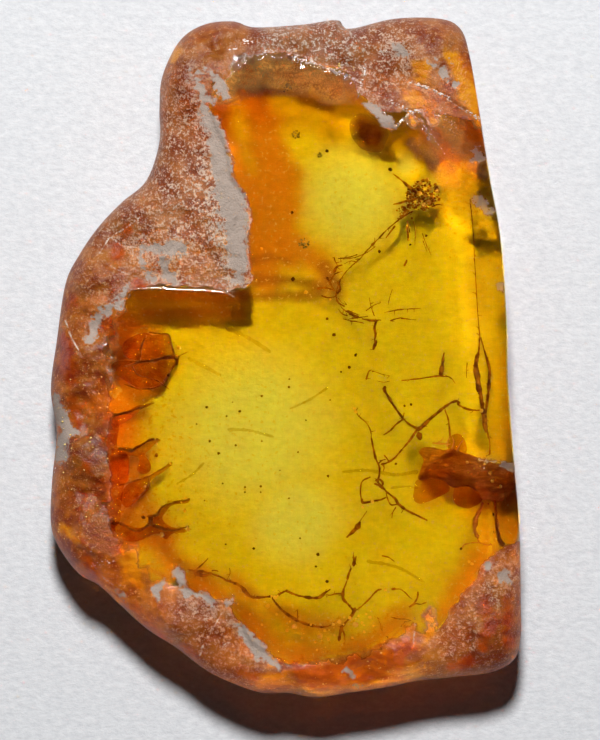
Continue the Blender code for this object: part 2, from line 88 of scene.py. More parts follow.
# The polished window in the upper face.
WINDOW = (
    (13.4, -6.7), (13.1, 0.5), (12.8, 4.9), (12.6, 11.0), (10.8, 13.1), (9.7, 14.6),
    (8.9, 16.2), (7.8, 15.5), (6.6, 16.1), (5.5, 16.8), (4.7, 18.2), (4.0, 19.1), (2.3, 19.5),
    (1.0, 20.0), (-0.2, 20.3), (-1.6, 20.3), (-2.9, 19.7), (-4.0, 18.7), (-4.7, 17.5),
    (-4.8, 16.2), (-3.9, 14.1), (-3.5, 12.1), (-2.3, 10.3), (-2.5, 7.7), (-2.5, 4.7),
    (-6.1, 4.6), (-9.8, 4.6), (-10.7, 3.2), (-11.3, 1.2), (-11.5, -3.0), (-11.5, -7.0),
    (-11.3, -11.1), (-10.3, -13.3), (-7.2, -15.0), (-4.8, -16.0), (-3.1, -17.3),
    (-2.0, -19.2), (0.6, -20.2), (3.1, -20.0), (5.1, -19.5), (6.6, -18.8), (8.2, -17.8),
    (9.9, -18.5), (11.5, -16.3), (12.9, -14.2), (13.7, -12.4),
)

# How far the crust lies below the window's edge: x, y, drop. Then how far the ledge takes to drop
# and the relief to rise past the window, and to fade at the stone's own edge.
LEDGES = (
    (-6.0, 5.0, 0.42), (-2.2, 8.0, 0.14), (-4.5, 14.0, 0.14), (-3.8, 19.2, 0.06),
    (0.0, 20.5, 0.18), (4.5, 18.8, 0.24), (7.5, 16.0, 0.18), (11.0, 13.5, 0.06),
    (13.2, 4.0, 0.0), (13.4, -6.0, 0.0), (12.8, -14.5, 0.10), (9.9, -18.6, 0.12),
    (5.0, -19.6, 0.10), (1.5, -20.2, 0.10), (-2.6, -18.5, 0.10), (-8.0, -14.8, 0.08),
    (-11.2, -11.0, 0.0), (-11.4, -8.0, 0.0), (-11.4, -3.0, 0.0), (-11.3, 1.0, 0.02),
)
LEDGE_RUN = 0.28
RELIEF_RUN = 1.4
EDGE_RUN = 1.2

# Lumps (positive) and hollows (negative) in the crust: x, y, radius, height.
LUMPS = (
    (-6.9, 19.4, 1.5, 0.5), (-6.6, 15.6, 1.4, -0.45), (-4.9, 10.6, 1.7, 0.35),
    (-8.0, 10.2, 1.8, 0.5), (-7.6, 6.6, 1.7, 0.4), (-11.4, 7.6, 1.6, -0.5),
    (-12.9, 5.4, 1.3, 0.5), (-12.4, 2.2, 1.2, -0.6), (-14.0, 0.2, 1.1, 0.5),
    (-13.4, -3.6, 1.3, -0.5), (-14.2, -6.6, 1.3, 0.5), (-13.4, -9.4, 1.3, -0.4),
    (-13.6, -12.2, 1.4, 0.6), (-10.4, -15.6, 1.3, -0.4), (-7.4, -17.2, 1.6, 0.5),
    (-3.8, -19.6, 1.3, -0.4), (-1.0, -21.4, 1.2, 0.4), (2.2, -21.2, 1.4, 0.3),
    (5.4, -20.8, 1.2, -0.5), (8.4, -20.0, 1.4, 0.5), (11.4, -19.2, 1.6, -0.3),
    (13.8, -17.4, 1.4, 0.4), (10.4, 20.4, 1.8, 0.4), (7.4, 18.6, 1.4, -0.6),
    (4.4, 20.8, 1.1, 0.5), (0.6, 21.6, 0.9, 0.4), (11.6, 16.4, 1.3, -0.4),
)

# Small smooth dents that catch the light: x, y, radius, depth.
DENTS = (
    (-2.66, 21.5, 0.55, 0.2), (-3.5, 21.0, 0.5, 0.18), (-1.7, 20.5, 0.4, 0.14),
    (-1.1, 20.65, 0.35, 0.14), (-0.5, 20.75, 0.4, 0.14), (0.6, 20.2, 0.35, 0.14),
    (1.2, 19.95, 0.4, 0.16), (2.3, 19.8, 0.3, 0.12), (2.9, 19.6, 0.3, 0.12),
    (3.5, 19.4, 0.35, 0.14), (4.1, 19.0, 0.3, 0.12), (-13.2, -13.6, 0.5, 0.2),
    (-13.7, -12.8, 0.4, 0.16), (-12.6, -14.2, 0.35, 0.14), (-14.4, -11.6, 0.4, 0.16),
    (-14.6, 4.4, 0.4, 0.14), (-11.9, 6.4, 0.35, 0.12), (-7.0, 21.4, 0.4, 0.16),
    (-6.3, 21.9, 0.3, 0.12), (-13.9, -2.4, 0.35, 0.14), (-13.2, -6.4, 0.35, 0.14),
    (-12.5, -9.5, 0.4, 0.16), (5.8, -21.6, 0.4, 0.16), (3.3, -21.0, 0.35, 0.14),
    (8.2, -20.4, 0.4, 0.16), (0.6, -21.8, 0.35, 0.14), (-9.6, -15.6, 0.4, 0.16),
)

# Height and size of the crust's grain and pits, how deep its frayed ledge is and how wide, and how
# much of the relief the underside has.
GRAIN_HEIGHT = 0.36
GRAIN_SIZE = 2.1
PIT_HEIGHT = 0.09
PIT_SIZE = 0.8
FRAY_HEIGHT = 0.05
FRAY_RUN = 1.2
UNDER_RELIEF = 0.5

# Spacing of the mesh on the crust, on the window, on the flat underside and along lines. Then the
# depths of the rings inside the edge, and how near the ledge and its foot come to the edge.
CRUST_STEP = 0.16
FLAT_STEP = 0.6
UNDER_STEP = 0.3
LINE_STEP = 0.16
RING_DEPTHS = (0.01, 0.03, 0.07, 0.13, 0.2, 0.29, 0.39, 0.5)
RIM_GAP = 1.0
FOOT_GAP = 0.8

# Pale scabs left on the crust: rows of x, y, radius.
PALE = (
    ((-5.6, 17, 0.27), (-5, 15.8, 0.48), (-4.5, 14.5, 0.54), (-4.2, 13.1, 0.61),
     (-4.1, 11.7, 0.75), (-3.7, 10.4, 1.09), (-3.5, 9, 0.95), (-3.3, 7.6, 0.75),
     (-3.2, 6.5, 0.61), (-3.1, 5.4, 0.41)),
    ((-6, 19.1, 0.2), (-5.8, 18.2, 0.34), (-5.6, 17.5, 0.2)),
    ((-5, 19.1, 0.27), (-4.5, 18.3, 0.41), (-4, 17.6, 0.34)),
    ((-5.4, 17.3, 0.34), (-4.9, 17.2, 0.27)),
    ((-10.3, 7.5, 0.1), (-9.2, 7.3, 0.27), (-7.9, 7.1, 0.41), (-7.2, 7.3, 0.27)),
    ((-8.2, 6.5, 0.41), (-8, 5.6, 0.34), (-7.6, 5, 0.2)),
    ((-9.8, 6.4, 0.14), (-9.4, 5.8, 0.2), (-9, 5.3, 0.2)),
    ((-10.7, 5, 0.2), (-10.8, 4.2, 0.27), (-11.2, 3.6, 0.31), (-12, 3.2, 0.37),
     (-12.6, 2.7, 0.34), (-12.9, 1.9, 0.27), (-13.2, 1, 0.2)),
    ((-15.5, -2.7, 0.2), (-15.2, -3.7, 0.41), (-14.9, -4.8, 0.61), (-15.1, -5.8, 0.48),
     (-15.4, -6.8, 0.27), (-15.6, -7.5, 0.14)),
    ((-7.4, -14.2, 0.2), (-7.2, -14.7, 0.41), (-7, -15.1, 0.27)),
    ((-6.5, -15.8, 0.2), (-5.8, -16, 0.34), (-5, -16.4, 0.27)),
    ((-3.9, -16.6, 0.14), (-3.5, -16.3, 0.2)),
    ((-3, -18.3, 0.34), (-2.4, -19.1, 0.48), (-1.6, -19.9, 0.48), (-0.9, -20.5, 0.27)),
    ((-11.3, -16, 0.14), (-10.9, -16.1, 0.14)),
    ((-9, -16, 0.1), (-8.6, -15.4, 0.17), (-8.1, -15, 0.1)),
    ((4.2, -21, 0.1), (4.4, -21.5, 0.2), (4.6, -22, 0.14)),
    ((7.4, 20.8, 0.2), (7.8, 20.6, 0.27), (8.3, 20.1, 0.1)),
    ((10.1, 20.1, 0.14), (10.4, 19.5, 0.24), (10.8, 18.9, 0.27), (11.2, 18.3, 0.17)),
    ((5.3, 17.1, 0.14), (6.1, 16.5, 0.34), (6.8, 15.9, 0.41), (7.2, 15.5, 0.2)),
    ((12.3, 14, 0.1), (12.7, 13.8, 0.24), (13.1, 13.6, 0.17)),
    ((12.7, 10.6, 0.2), (13.2, 10.3, 0.34), (13.5, 9.8, 0.2)),
    ((14.4, 4.8, 0.2), (14.6, 4.6, 0.2)),
    ((13.5, -14, 0.2), (14.2, -14.5, 0.17), (15.2, -15.1, 0.07)),
    ((13, -6.8, 0.14), (14.2, -7, 0.17), (15.3, -7.2, 0.14)),
)

# Fine pale cracks across the crust: half their width, how deep they and the scabs lie in the
# crust, and rows of x, y.
CRACK_RADIUS = 0.03
CRACK_DEPTH = 0.10
PALE_DEPTH = 0.07
CRACKS = (
    ((-9.7, 9.5), (-10.8, 8.7), (-11.9, 8.1), (-12.6, 7)),
    ((-11.8, 8.1), (-11, 7.5), (-10, 7.4)),
    ((-12, 6.2), (-10.9, 5.7), (-9.4, 5.2), (-8.7, 4.8)),
    ((-14.9, 2.5), (-14.4, 1.2), (-13.7, 0.2)),
    ((8.3, 18.5), (10.1, 17.9), (11.4, 17), (13.1, 15.9)),
    ((7, 17.2), (8.5, 16.3), (9.3, 15.8), (9.7, 14.6)),
    ((5.3, 20.1), (5.5, 19.1), (5, 18), (4.8, 17.4)),
    ((6.3, 20.8), (6.7, 20.2)),
    ((12, -7.8), (12.9, -7.6), (13.5, -7.4)),
    ((-8.6, 11.9), (-8.1, 11), (-7.7, 11.5)),
    ((8.6, -19.2), (8.7, -18.2), (8.6, -17)),
    ((-5.8, -20.2), (-5.5, -19.2), (-4.9, -18.2), (-4.3, -17.2)),
    ((-4.3, -19.4), (-3.8, -19.2)),
    ((-13, -13.8), (-12.4, -14.8), (-11.4, -15.5)),
    ((-4.4, 4.6), (-3.4, 4.0), (-2.3, 3.2)),
)

# Brown films on the polished face along its upper edges, partly haze; along the top edge they
# also paint the shade that the crust casts below it: depth and rows of x, y, radius.
FILM_AND_SHADE = (
    (0.42, ((-4.4, 17.6, 0.6), (-3.4, 18.9, 0.8), (-1.8, 19.3, 0.9), (0.2, 19.2, 1.0),
            (2.2, 18.6, 0.8), (3.9, 17.8, 0.5))),
    (0.16, ((9.4, 14.2, 0.4), (10.2, 13.2, 0.6), (10.8, 12.2, 0.3))),
    (0.26, ((10.4, 15.6, 0.5), (11.4, 14.8, 0.6), (12.2, 13.7, 0.4), (12.9, 12.6, 0.1))),
)

# Places where the crust is worn thin over deep red, and golden places: rows of x, y, radius.
RED_SPOTS = (
    ((-11.3, 7.5, 0.34), (-11.3, 6.8, 0.41)),
    ((-11.1, 8.3, 0.27), (-10.6, 8.7, 0.34)),
    ((-10.1, 5.1, 0.27), (-9.8, 4.8, 0.2)),
    ((-13.4, -13.3, 0.34), (-13.2, -13.8, 0.41), (-12.8, -14.9, 0.34)),
    ((-10.9, -16.8, 0.34), (-10.1, -17.1, 0.34)),
    ((-9.6, -18.0, 0.3), (-8.4, -18.7, 0.3)),
    ((-6.9, -19.6, 0.3), (-6.1, -20.1, 0.3)),
    ((-3, -21.2, 0.34), (-2.1, -21.5, 0.27)),
    ((1.2, -21.3, 0.8), (2.6, -21.6, 0.95), (4, -21.3, 1.0), (6.7, -20.6, 0.95), (7.9, -19.6, 0.68)),
    ((-14.3, -2.9, 0.5), (-14, -4.4, 0.4)),
    ((-13.4, -7.2, 0.4), (-13.0, -8.0, 0.3)),
    ((-14.5, 3.9, 0.27), (-14.7, 3.2, 0.27)),
    ((-14.9, 1.2, 0.5), (-14.7, -0.2, 0.54), (-14.4, -1.4, 0.54)),
    ((13.5, -16.5, 0.34), (13.7, -18.2, 0.48), (13.3, -19.6, 0.34)),
    ((14.9, -16.5, 0.3), (15.1, -19.2, 0.34)),
    ((12.5, -20.4, 0.27), (11.2, -20.8, 0.34)),
    ((-5.0, 17.4, 0.2), (-5.4, 16.6, 0.15)),
)
# Golden places: worn crust over golden amber, and at the top corners painted glow of light through it.
GOLDEN_SPOTS_AND_GLOW = (
    ((-7.5, 21.1, 0.2), (-7.3, 20.7, 0.3), (-7.5, 20.2, 0.25)),
    ((8.6, 19.9, 0.3), (9.2, 19.4, 0.5), (9.3, 18.9, 0.4)),
    ((8.2, 17.7, 0.35), (9.0, 17.3, 0.6), (9.6, 16.6, 0.5), (9.8, 15.9, 0.3)),
    ((10.9, 20.4, 0.3), (11.6, 19.6, 0.6), (12.1, 18.6, 0.85), (12.4, 17.6, 0.75),
     (12.8, 16.7, 0.5), (13.1, 15.7, 0.3)),
    ((8.4, 16.3, 0.2), (8.6, 15.7, 0.27)),
    ((-10.2, -12.9, 0.3), (-10.5, -13.7, 0.6), (-10.4, -14.7, 0.6), (-9.9, -15.4, 0.4)),
    ((9.7, -17.3, 0.41), (9.7, -18.2, 0.34), (9.5, -19.1, 0.14)),
    ((-14.9, -11.6, 0.25), (-14.2, -12.4, 0.25)),
)

# The part of the underside that is free of crust.
UNDER_WINDOW = (
    (15.4, -12.4), (15.7, -8.3), (15.2, -1.5), (14.9, 4.6), (14.6, 8.7), (13.9, 12.7),
    (13.1, 16.8), (12.4, 21.2), (9.1, 21.6), (5.7, 21.0), (3.0, 21.0), (0.3, 21.1), (-2.4, 21.2),
    (-5.4, 20.9), (-6.8, 18.6), (-7.3, 11.4), (-9.2, 8), (-10.6, 4.6), (-11.3, 1.9),
    (-11.4, -1.9), (-11.5, -6.3), (-11.3, -11.1), (-10.9, -13.8), (-9.2, -16), (-6.9, -15.8),
    (-4.8, -16.6), (-2.9, -18.4), (-1.6, -20.2), (1, -21.3), (4.4, -20.8), (7.1, -19.9),
    (8.5, -19.2), (9.8, -19.2), (12.5, -15.8), (14.6, -13.9),
)

# Bands of the underside tinted orange: orange stains, and in the rows along the ledge and the top
# edge painted shade in the colour of light through the crust: rows of x, y, radius.
ORANGE_STAINS_AND_SHADE = (
    ((-4.8, 16.8, 0.95), (-4.1, 14.1, 0.95), (-2.4, 10.7, 1.5), (-1.6, 7.3, 1.5),
     (-1.2, 5.3, 0.95)),
    ((-2.4, 18.5, 0.95), (-1.6, 15.5, 1.09), (-0.7, 12.1, 1.5), (-0.5, 9, 1.36), (0.3, 7, 1.09)),
    ((0.3, 8, 0.82), (2.2, 6.5, 0.82), (3.1, 5.3, 0.68)),
    ((-10.6, 1.5, 1.09), (-9.2, 0.8, 1.09), (-9.9, -1.5, 1.09), (-10.4, -2.9, 0.68),
     (-10.7, -5.6, 0.54)),
    ((-10.9, 2.0, 1.0), (-11.2, -3.0, 1.0), (-11.2, -8.0, 1.0), (-10.6, -12.0, 1.0)),
    ((-9.9, -7.3, 0.68), (-10.7, -8.3, 0.68), (-9.2, -11.1, 0.82), (-7.9, -13.8, 0.95),
     (-4.8, -16.2, 0.68), (-2.8, -17.5, 0.68), (-1.6, -19.2, 0.82), (0.3, -20.2, 0.82),
     (3.7, -20.2, 0.82), (6.4, -19.2, 0.82), (8.1, -17.5, 0.61)),
    ((10.5, -19.2, 0.82), (11.5, -16.7, 0.8), (12.9, -14.1, 0.7), (13.6, -12.1, 0.4)),
    ((14.6, -12.4, 0.7), (14.9, -8.3, 0.7), (14.9, -4.3, 0.6), (14.8, 0.5, 0.3)),
    ((12.9, 12.7, 0.7), (12.2, 15.5, 1.09)),
    ((9.8, 15.5, 0.95), (11.2, 14.1, 0.95)),
    ((-5.6, 20.0, 1.1), (-2.5, 20.1, 1.1), (0.5, 20.0, 1.2), (3.5, 19.4, 1.4), (7.0, 18.6, 1.4)),
    ((-9.6, 4.2, 0.6), (-6.4, 4.2, 0.7), (-3.2, 4.2, 0.6)),
    ((-9.6, 3.1, 0.4), (-6.4, 3.1, 0.5), (-3.2, 3.1, 0.4)),
    ((-3.5, -15.4, 0.4), (-2.0, -16.7, 0.5), (-0.5, -17.4, 0.5), (1.5, -18.4, 0.5), (4.0, -18.2, 0.4)),
)

# Band of the underside along the cut side that is stained golden.
GOLDEN = (
    ((13.9, -12.4, 1.3), (14.2, -8.3, 1.5), (14.0, -4.3, 1.3), (13.8, 0.5, 1.2), (13.6, 4.6, 1.2),
     (13.2, 9.3, 1.3), (12.4, 12.7, 1.3), (11.6, 15.5, 1.2)),
)

# Painted glow: pale places of the underside, tinted paler to stand in for a pool of light in
# the amber: x, y, radius.
GLOWS = ((-2.2, -4.8, 4.5), (4.5, 11.0, 2.8), (8.24, 13.3, 0.7), (0.6, -11.0, 2.6))

# Small brown marks of the underside: brown stains, and painted shadow where the crust's edges
# shade the window: rows of x, y, radius.
STAINS_AND_SHADE = (
    ((-2.4, 5.4, 0.3), (0.3, 5.3, 0.3), (2.2, 4.9, 0.4)),
    ((-2.2, 4.1, 0.2), (0.2, 4.2, 0.3), (2.2, 4.3, 0.35)),
    ((2.6, 6.2, 0.5), (3.4, 5.0, 0.55), (3.4, 4.0, 0.4)),
    ((-2.4, 6.6, 0.2), (-1.0, 6.9, 0.2), (0.2, 6.6, 0.15)),
    ((6.8, 14.1, 0.1), (7.6, 13.4, 0.15)),
    ((8.5, 14.6, 0.3), (10.0, 13.0, 0.35)),
    ((-4.3, 18.6, 0.4), (-2.2, 18.2, 0.5), (0.6, 18.1, 0.4), (3.0, 17.0, 0.35)),
)

# The amber: how it bends light, the light that it lets through and how strongly it takes up the
# rest. Then colours of the light that the underside lets through; the pale one paints glow, and
# the orange and brown ones partly paint shade.
AMBER_IOR = 1.54
AMBER_COLOUR = (0.998, 0.919, 0.0, 1.0)
AMBER_DENSITY = 201.0
PAINTED_GLOW_WHITE = (1.0, 0.97, 0.72)
YELLOW = (1.0, 0.76, 0.03)
STAIN_GOLD = (1.0, 0.62, 0.03)
ORANGE_STAIN_AND_SHADE = (0.82, 0.25, 0.02)
STAIN_AND_SHADE_BROWN = (0.42, 0.12, 0.03)

# Kinds of crust at places: x, y, how clear, how red, how hazy. The underside is all of one kind.
CRUST_KINDS = (
    (-6.8, 20.0, 0.52, 0.35, 0.6), (-7.6, 15.5, 0.44, 0.10, 0.9), (-5.4, 11.0, 0.50, 0.05, 1.0),
    (-10.0, 8.0, 0.56, 0.30, 0.8), (-6.5, 6.5, 0.80, 0.15, 0.9), (-12.0, 5.0, 0.50, 0.55, 0.5),
    (-14.6, 2.0, 0.52, 0.75, 0.3), (-11.5, 1.5, 0.62, 0.90, 0.05), (-14.2, -3.5, 0.60, 0.90, 0.1),
    (-11.6, -5.0, 0.70, 0.80, 0.0), (-13.6, -8.5, 0.62, 0.85, 0.05), (-11.0, -11.5, 0.68, 0.8, 0.0),
    (-13.0, -13.0, 0.58, 0.85, 0.1), (-10.5, -15.5, 0.56, 0.80, 0.2), (-9.0, -14.0, 0.70, 0.8, 0.0),
    (-6.5, -18.0, 0.47, 0.30, 0.8), (-9.4, -17.9, 0.54, 0.75, 0.3), (-3.5, -20.3, 0.48, 0.45, 0.7),
    (0.5, -21.5, 0.64, 1.00, 0.15), (4.5, -21.0, 0.68, 1.00, 0.0), (7.5, -20.3, 0.68, 1.00, 0.05),
    (11.5, -19.0, 0.46, 0.35, 0.9), (14.7, -18.5, 0.52, 0.70, 0.5), (14.0, -15.6, 0.44, 0.45, 0.9),
    (12.4, -14.0, 0.55, 0.60, 0.5), (11.0, 21.0, 0.50, 0.50, 0.4), (7.0, 20.0, 0.44, 0.15, 0.9),
    (3.5, 21.3, 0.66, 0.05, 1.0), (-0.5, 21.7, 0.70, 0.05, 0.9), (-3.5, 21.8, 0.50, 0.35, 0.3),
    (-5.0, 21.2, 0.5, 0.6, 0.05), (-4.4, 20.0, 0.55, 0.6, 0.1),
    (12.8, 17.0, 0.74, 0.70, 0.0), (9.4, 17.4, 0.60, 0.50, 0.3), (12.9, 13.0, 0.80, 0.60, 0.0),
)
UNDER_KIND = (0.95, 0.9, 0.1)

# Value kept for a point that no stroke is near, and the y above which the window's rim is rough.
FAR = -9.0
EDGE_BOTTOM = 12.0

# Golden glints under the crust, bright grains that paint highlights: their smallest size and how
# far it grows. Then the areas where they lie: outline and number.
GLINT_SIZE = 0.025
GLINT_GROWTH = 0.085
GLINT_AREAS = (
    (((-15.0, -1.5), (-12.6, 0.4), (-11.8, -2.0), (-11.8, -12.0), (-13.4, -14.2), (-15.4, -12.0)), 130),
    (((1.0, -19.6), (5.0, -19.3), (8.4, -18.2), (7.6, -21.0), (2.0, -22.4)), 46),
    (((-0.6, -17.6), (4.5, -16.6), (6.4, -17.2), (4.0, -19.4), (0.6, -19.2)), 22),
    (((0.4, 19.9), (4.6, 18.6), (5.0, 19.4), (0.8, 20.6)), 22),
)

# Lines along which pale grains paint highlights, standing in for broken facets of the crust that
# catch the light: start, end, number, largest size, spread. Before them, the smallest size.
PAINTED_SPARKLE_SIZE = 0.03
PAINTED_SPARKLES = (
    ((-3.75, 20.7), (-3.25, 20.75), 12, 0.16, 0.07), ((-2.95, 21.3), (-2.35, 21.15), 14, 0.18, 0.07),
    ((-1.95, 20.2), (-1.2, 20.55), 12, 0.12, 0.07), ((-1.2, 20.55), (0.15, 20.6), 20, 0.13, 0.07),
    ((0.4, 20.15), (2.0, 19.6), 70, 0.13, 0.14), ((2.0, 19.6), (3.5, 19.1), 70, 0.12, 0.14),
    ((3.5, 19.1), (4.8, 18.6), 50, 0.1, 0.12), ((5.25, 19.5), (5.3, 18.8), 14, 0.1, 0.05),
    ((5.1, 18.7), (5.0, 17.6), 20, 0.1, 0.06), ((6.2, 20.7), (7.1, 20.4), 16, 0.1, 0.08),
    ((8.4, 18.5), (9.6, 18.1), 26, 0.12, 0.06), ((9.6, 18.1), (11.15, 17.4), 26, 0.09, 0.05),
    ((12.2, 16.6), (13.05, 16.0), 16, 0.12, 0.05), ((7.1, 17.3), (8.8, 16.3), 30, 0.1, 0.06),
    ((9.05, 16.1), (9.7, 14.5), 30, 0.1, 0.08), ((7.0, 15.2), (7.5, 15.6), 14, 0.13, 0.05),
    ((7.5, 15.6), (8.0, 16.1), 10, 0.09, 0.05), ((10.3, 16.9), (11.4, 15.2), 36, 0.08, 0.2),
    ((-11.4, -13.6), (-13.0, -14.0), 14, 0.1, 0.08), ((-13.8, -12.2), (-12.9, -13.2), 12, 0.1, 0.08),
    ((-15.6, -7.3), (-15.8, -9.4), 10, 0.07, 0.05),
)

# How a thread is made: sides and spacing of its tube, and its thickness against the rows below.
TUBE_SIDES = 6
TUBE_STEP = 0.13
THREAD_SHARE = 0.92

# Fine barbs on the threads: their gap, how many of the gaps have one, their lengths, and their
# radius at the foot and at the tip.
BARB_GAP = 0.45
BARB_SHARE = 0.35
BARB_LENGTHS = (0.12, 0.34)
BARB_RADII = (0.03, 0.012)
BARB_SEED = 4.0

# Threads of the web. Each row: radius at its start and at its end, level at its start and at
# its end, and the points it runs through.
RIGHT_STRANDS = (
    (0.12, 0.06, 4.3, 4.1, ((6.72, -2.01), (6.68, -2.22), (6.98, -2.72), (7.33, -3.3),
     (7.72, -3.85), (7.94, -4.12))),
    (0.05, 0.09, 4.1, 3.7, ((7.94, -4.12), (8.28, -4.46), (8.72, -4.73), (8.92, -4.87))),
    (0.08, 0.04, 4.1, 3.5, ((7.94, -4.19), (7.49, -4.53), (7.07, -4.98), (6.64, -5.25))),
    (0.04, 0.03, 4.1, 4.2, ((7.94, -4.12), (8.02, -3.76))),
    (0.15, 0.1, 3.7, 3.8, ((8.92, -4.9), (9.23, -4.71), (9.76, -4.19), (10.28, -3.76),
     (10.54, -3.54))),
    (0.1, 0.08, 3.8, 3.9, ((10.54, -3.54), (11.06, -3.16), (11.53, -2.96), (11.78, -3.1))),
    (0.08, 0.06, 3.9, 4.0, ((11.64, -3.07), (11.75, -3.24), (12.27, -3.5), (12.8, -3.59),
     (13.1, -3.6))),
    (0.05, 0.07, 3.8, 3.5, ((10.8, -3.61), (11.02, -4.19), (11.1, -4.89), (11.15, -5.41))),
    (0.11, 0.05, 3.7, 3.6, ((8.92, -4.9), (8.67, -5.24), (8.37, -5.67), (7.85, -6.28))),
    (0.06, 0.08, 3.6, 3.4, ((7.85, -6.28), (7.41, -6.79), (6.9, -7.14), (6.51, -7.25))),
    (0.22, 0.2, 3.7, 3.6, ((9.03, -5.24), (9.11, -5.51))),
    (0.03, 0.04, 3.1, 3.2, ((4.73, -3.67), (4.98, -4.02), (5.51, -4.49), (5.77, -5.06),
     (5.81, -5.49))),
    (0.05, 0.1, 3.2, 3.3, ((5.81, -5.49), (5.93, -6.09), (6.03, -6.57), (6.09, -6.84))),
    (0.09, 0.06, 3.3, 3.4, ((6.09, -6.84), (6.29, -7.28), (6.37, -7.49))),
    (0.07, 0.06, 3.4, 3.5, ((6.37, -7.49), (6.34, -8.01), (6.24, -8.45), (6.64, -8.88),
     (6.85, -9.14))),
    (0.07, 0.1, 3.5, 3.8, ((6.85, -9.14), (7.41, -9.57), (7.59, -9.92))),
    (0.1, 0.05, 3.8, 4.0, ((7.59, -9.92), (8.19, -10.35), (8.89, -10.7), (9.58, -11.04))),
    (0.05, 0.05, 3.5, 3.6, ((6.81, -9.22), (6.92, -9.63), (7.15, -10.0), (7.59, -9.96))),
    (0.06, 0.05, 3.3, 3.2, ((5.73, -8.13), (5.29, -8.32), (5.11, -8.61), (5.07, -9.22),
     (5.16, -9.74))),
    (0.09, 0.06, 3.2, 3.3, ((5.16, -9.63), (5.25, -9.87), (5.85, -9.76), (6.46, -9.66),
     (6.81, -9.49))),
    (0.04, 0.03, 3.5, 3.2, ((7.46, -10.17), (7.26, -10.51), (7.2, -10.87))),
    (0.03, 0.02, 3.5, 3.3, ((8.02, -10.27), (7.83, -10.55))),
    (0.03, 0.03, 3.2, 3.0, ((5.51, -10.44), (5.03, -11.12))),
    (0.09, 0.17, 3.0, 2.9, ((5.03, -11.19), (4.91, -11.46))),
    (0.17, 0.06, 2.9, 2.8, ((4.91, -11.46), (4.56, -11.83), (4.16, -12.2))),
    (0.04, 0.07, 4.3, 4.3, ((7.85, -1.58), (9.23, -1.42), (10.1, -1.29), (10.62, -1.26))),
    (0.16, 0.05, 4.3, 4.3, ((10.49, -1.17), (10.57, -0.72), (10.66, -0.04), (10.72, 0.3))),
    (0.05, 0.03, 4.3, 4.3, ((10.62, -1.29), (11.03, -1.32), (11.3, -1.5))),
    (0.07, 0.03, 4.3, 4.2, ((5.45, -1.47), (5.62, -0.96), (5.79, -0.86))),
    (0.03, 0.02, 4.2, 4.2, ((5.86, -0.92), (6.47, -1.13), (7.02, -1.26))),
    (0.02, 0.02, 4.2, 4.2, ((6.2, -1.6), (6.61, -1.69), (7.02, -1.64))),
    (0.05, 0.04, 3.3, 3.3, ((6.3, -7.18), (6.54, -6.98), (6.75, -6.94))),
    (0.04, 0.03, 3.4, 3.4, ((6.51, -7.25), (6.68, -7.45), (6.61, -7.72))),
    (0.09, 0.06, 3.5, 3.5, ((6.13, -8.34), (6.36, -8.29), (6.58, -8.47), (6.54, -8.71))),
    (0.07, 0.05, 3.5, 3.5, ((6.03, -8.57), (6.27, -8.66), (6.51, -8.9))),
    (0.05, 0.04, 3.4, 3.5, ((6.68, -6.64), (6.87, -6.87), (7.02, -7.13))),
)
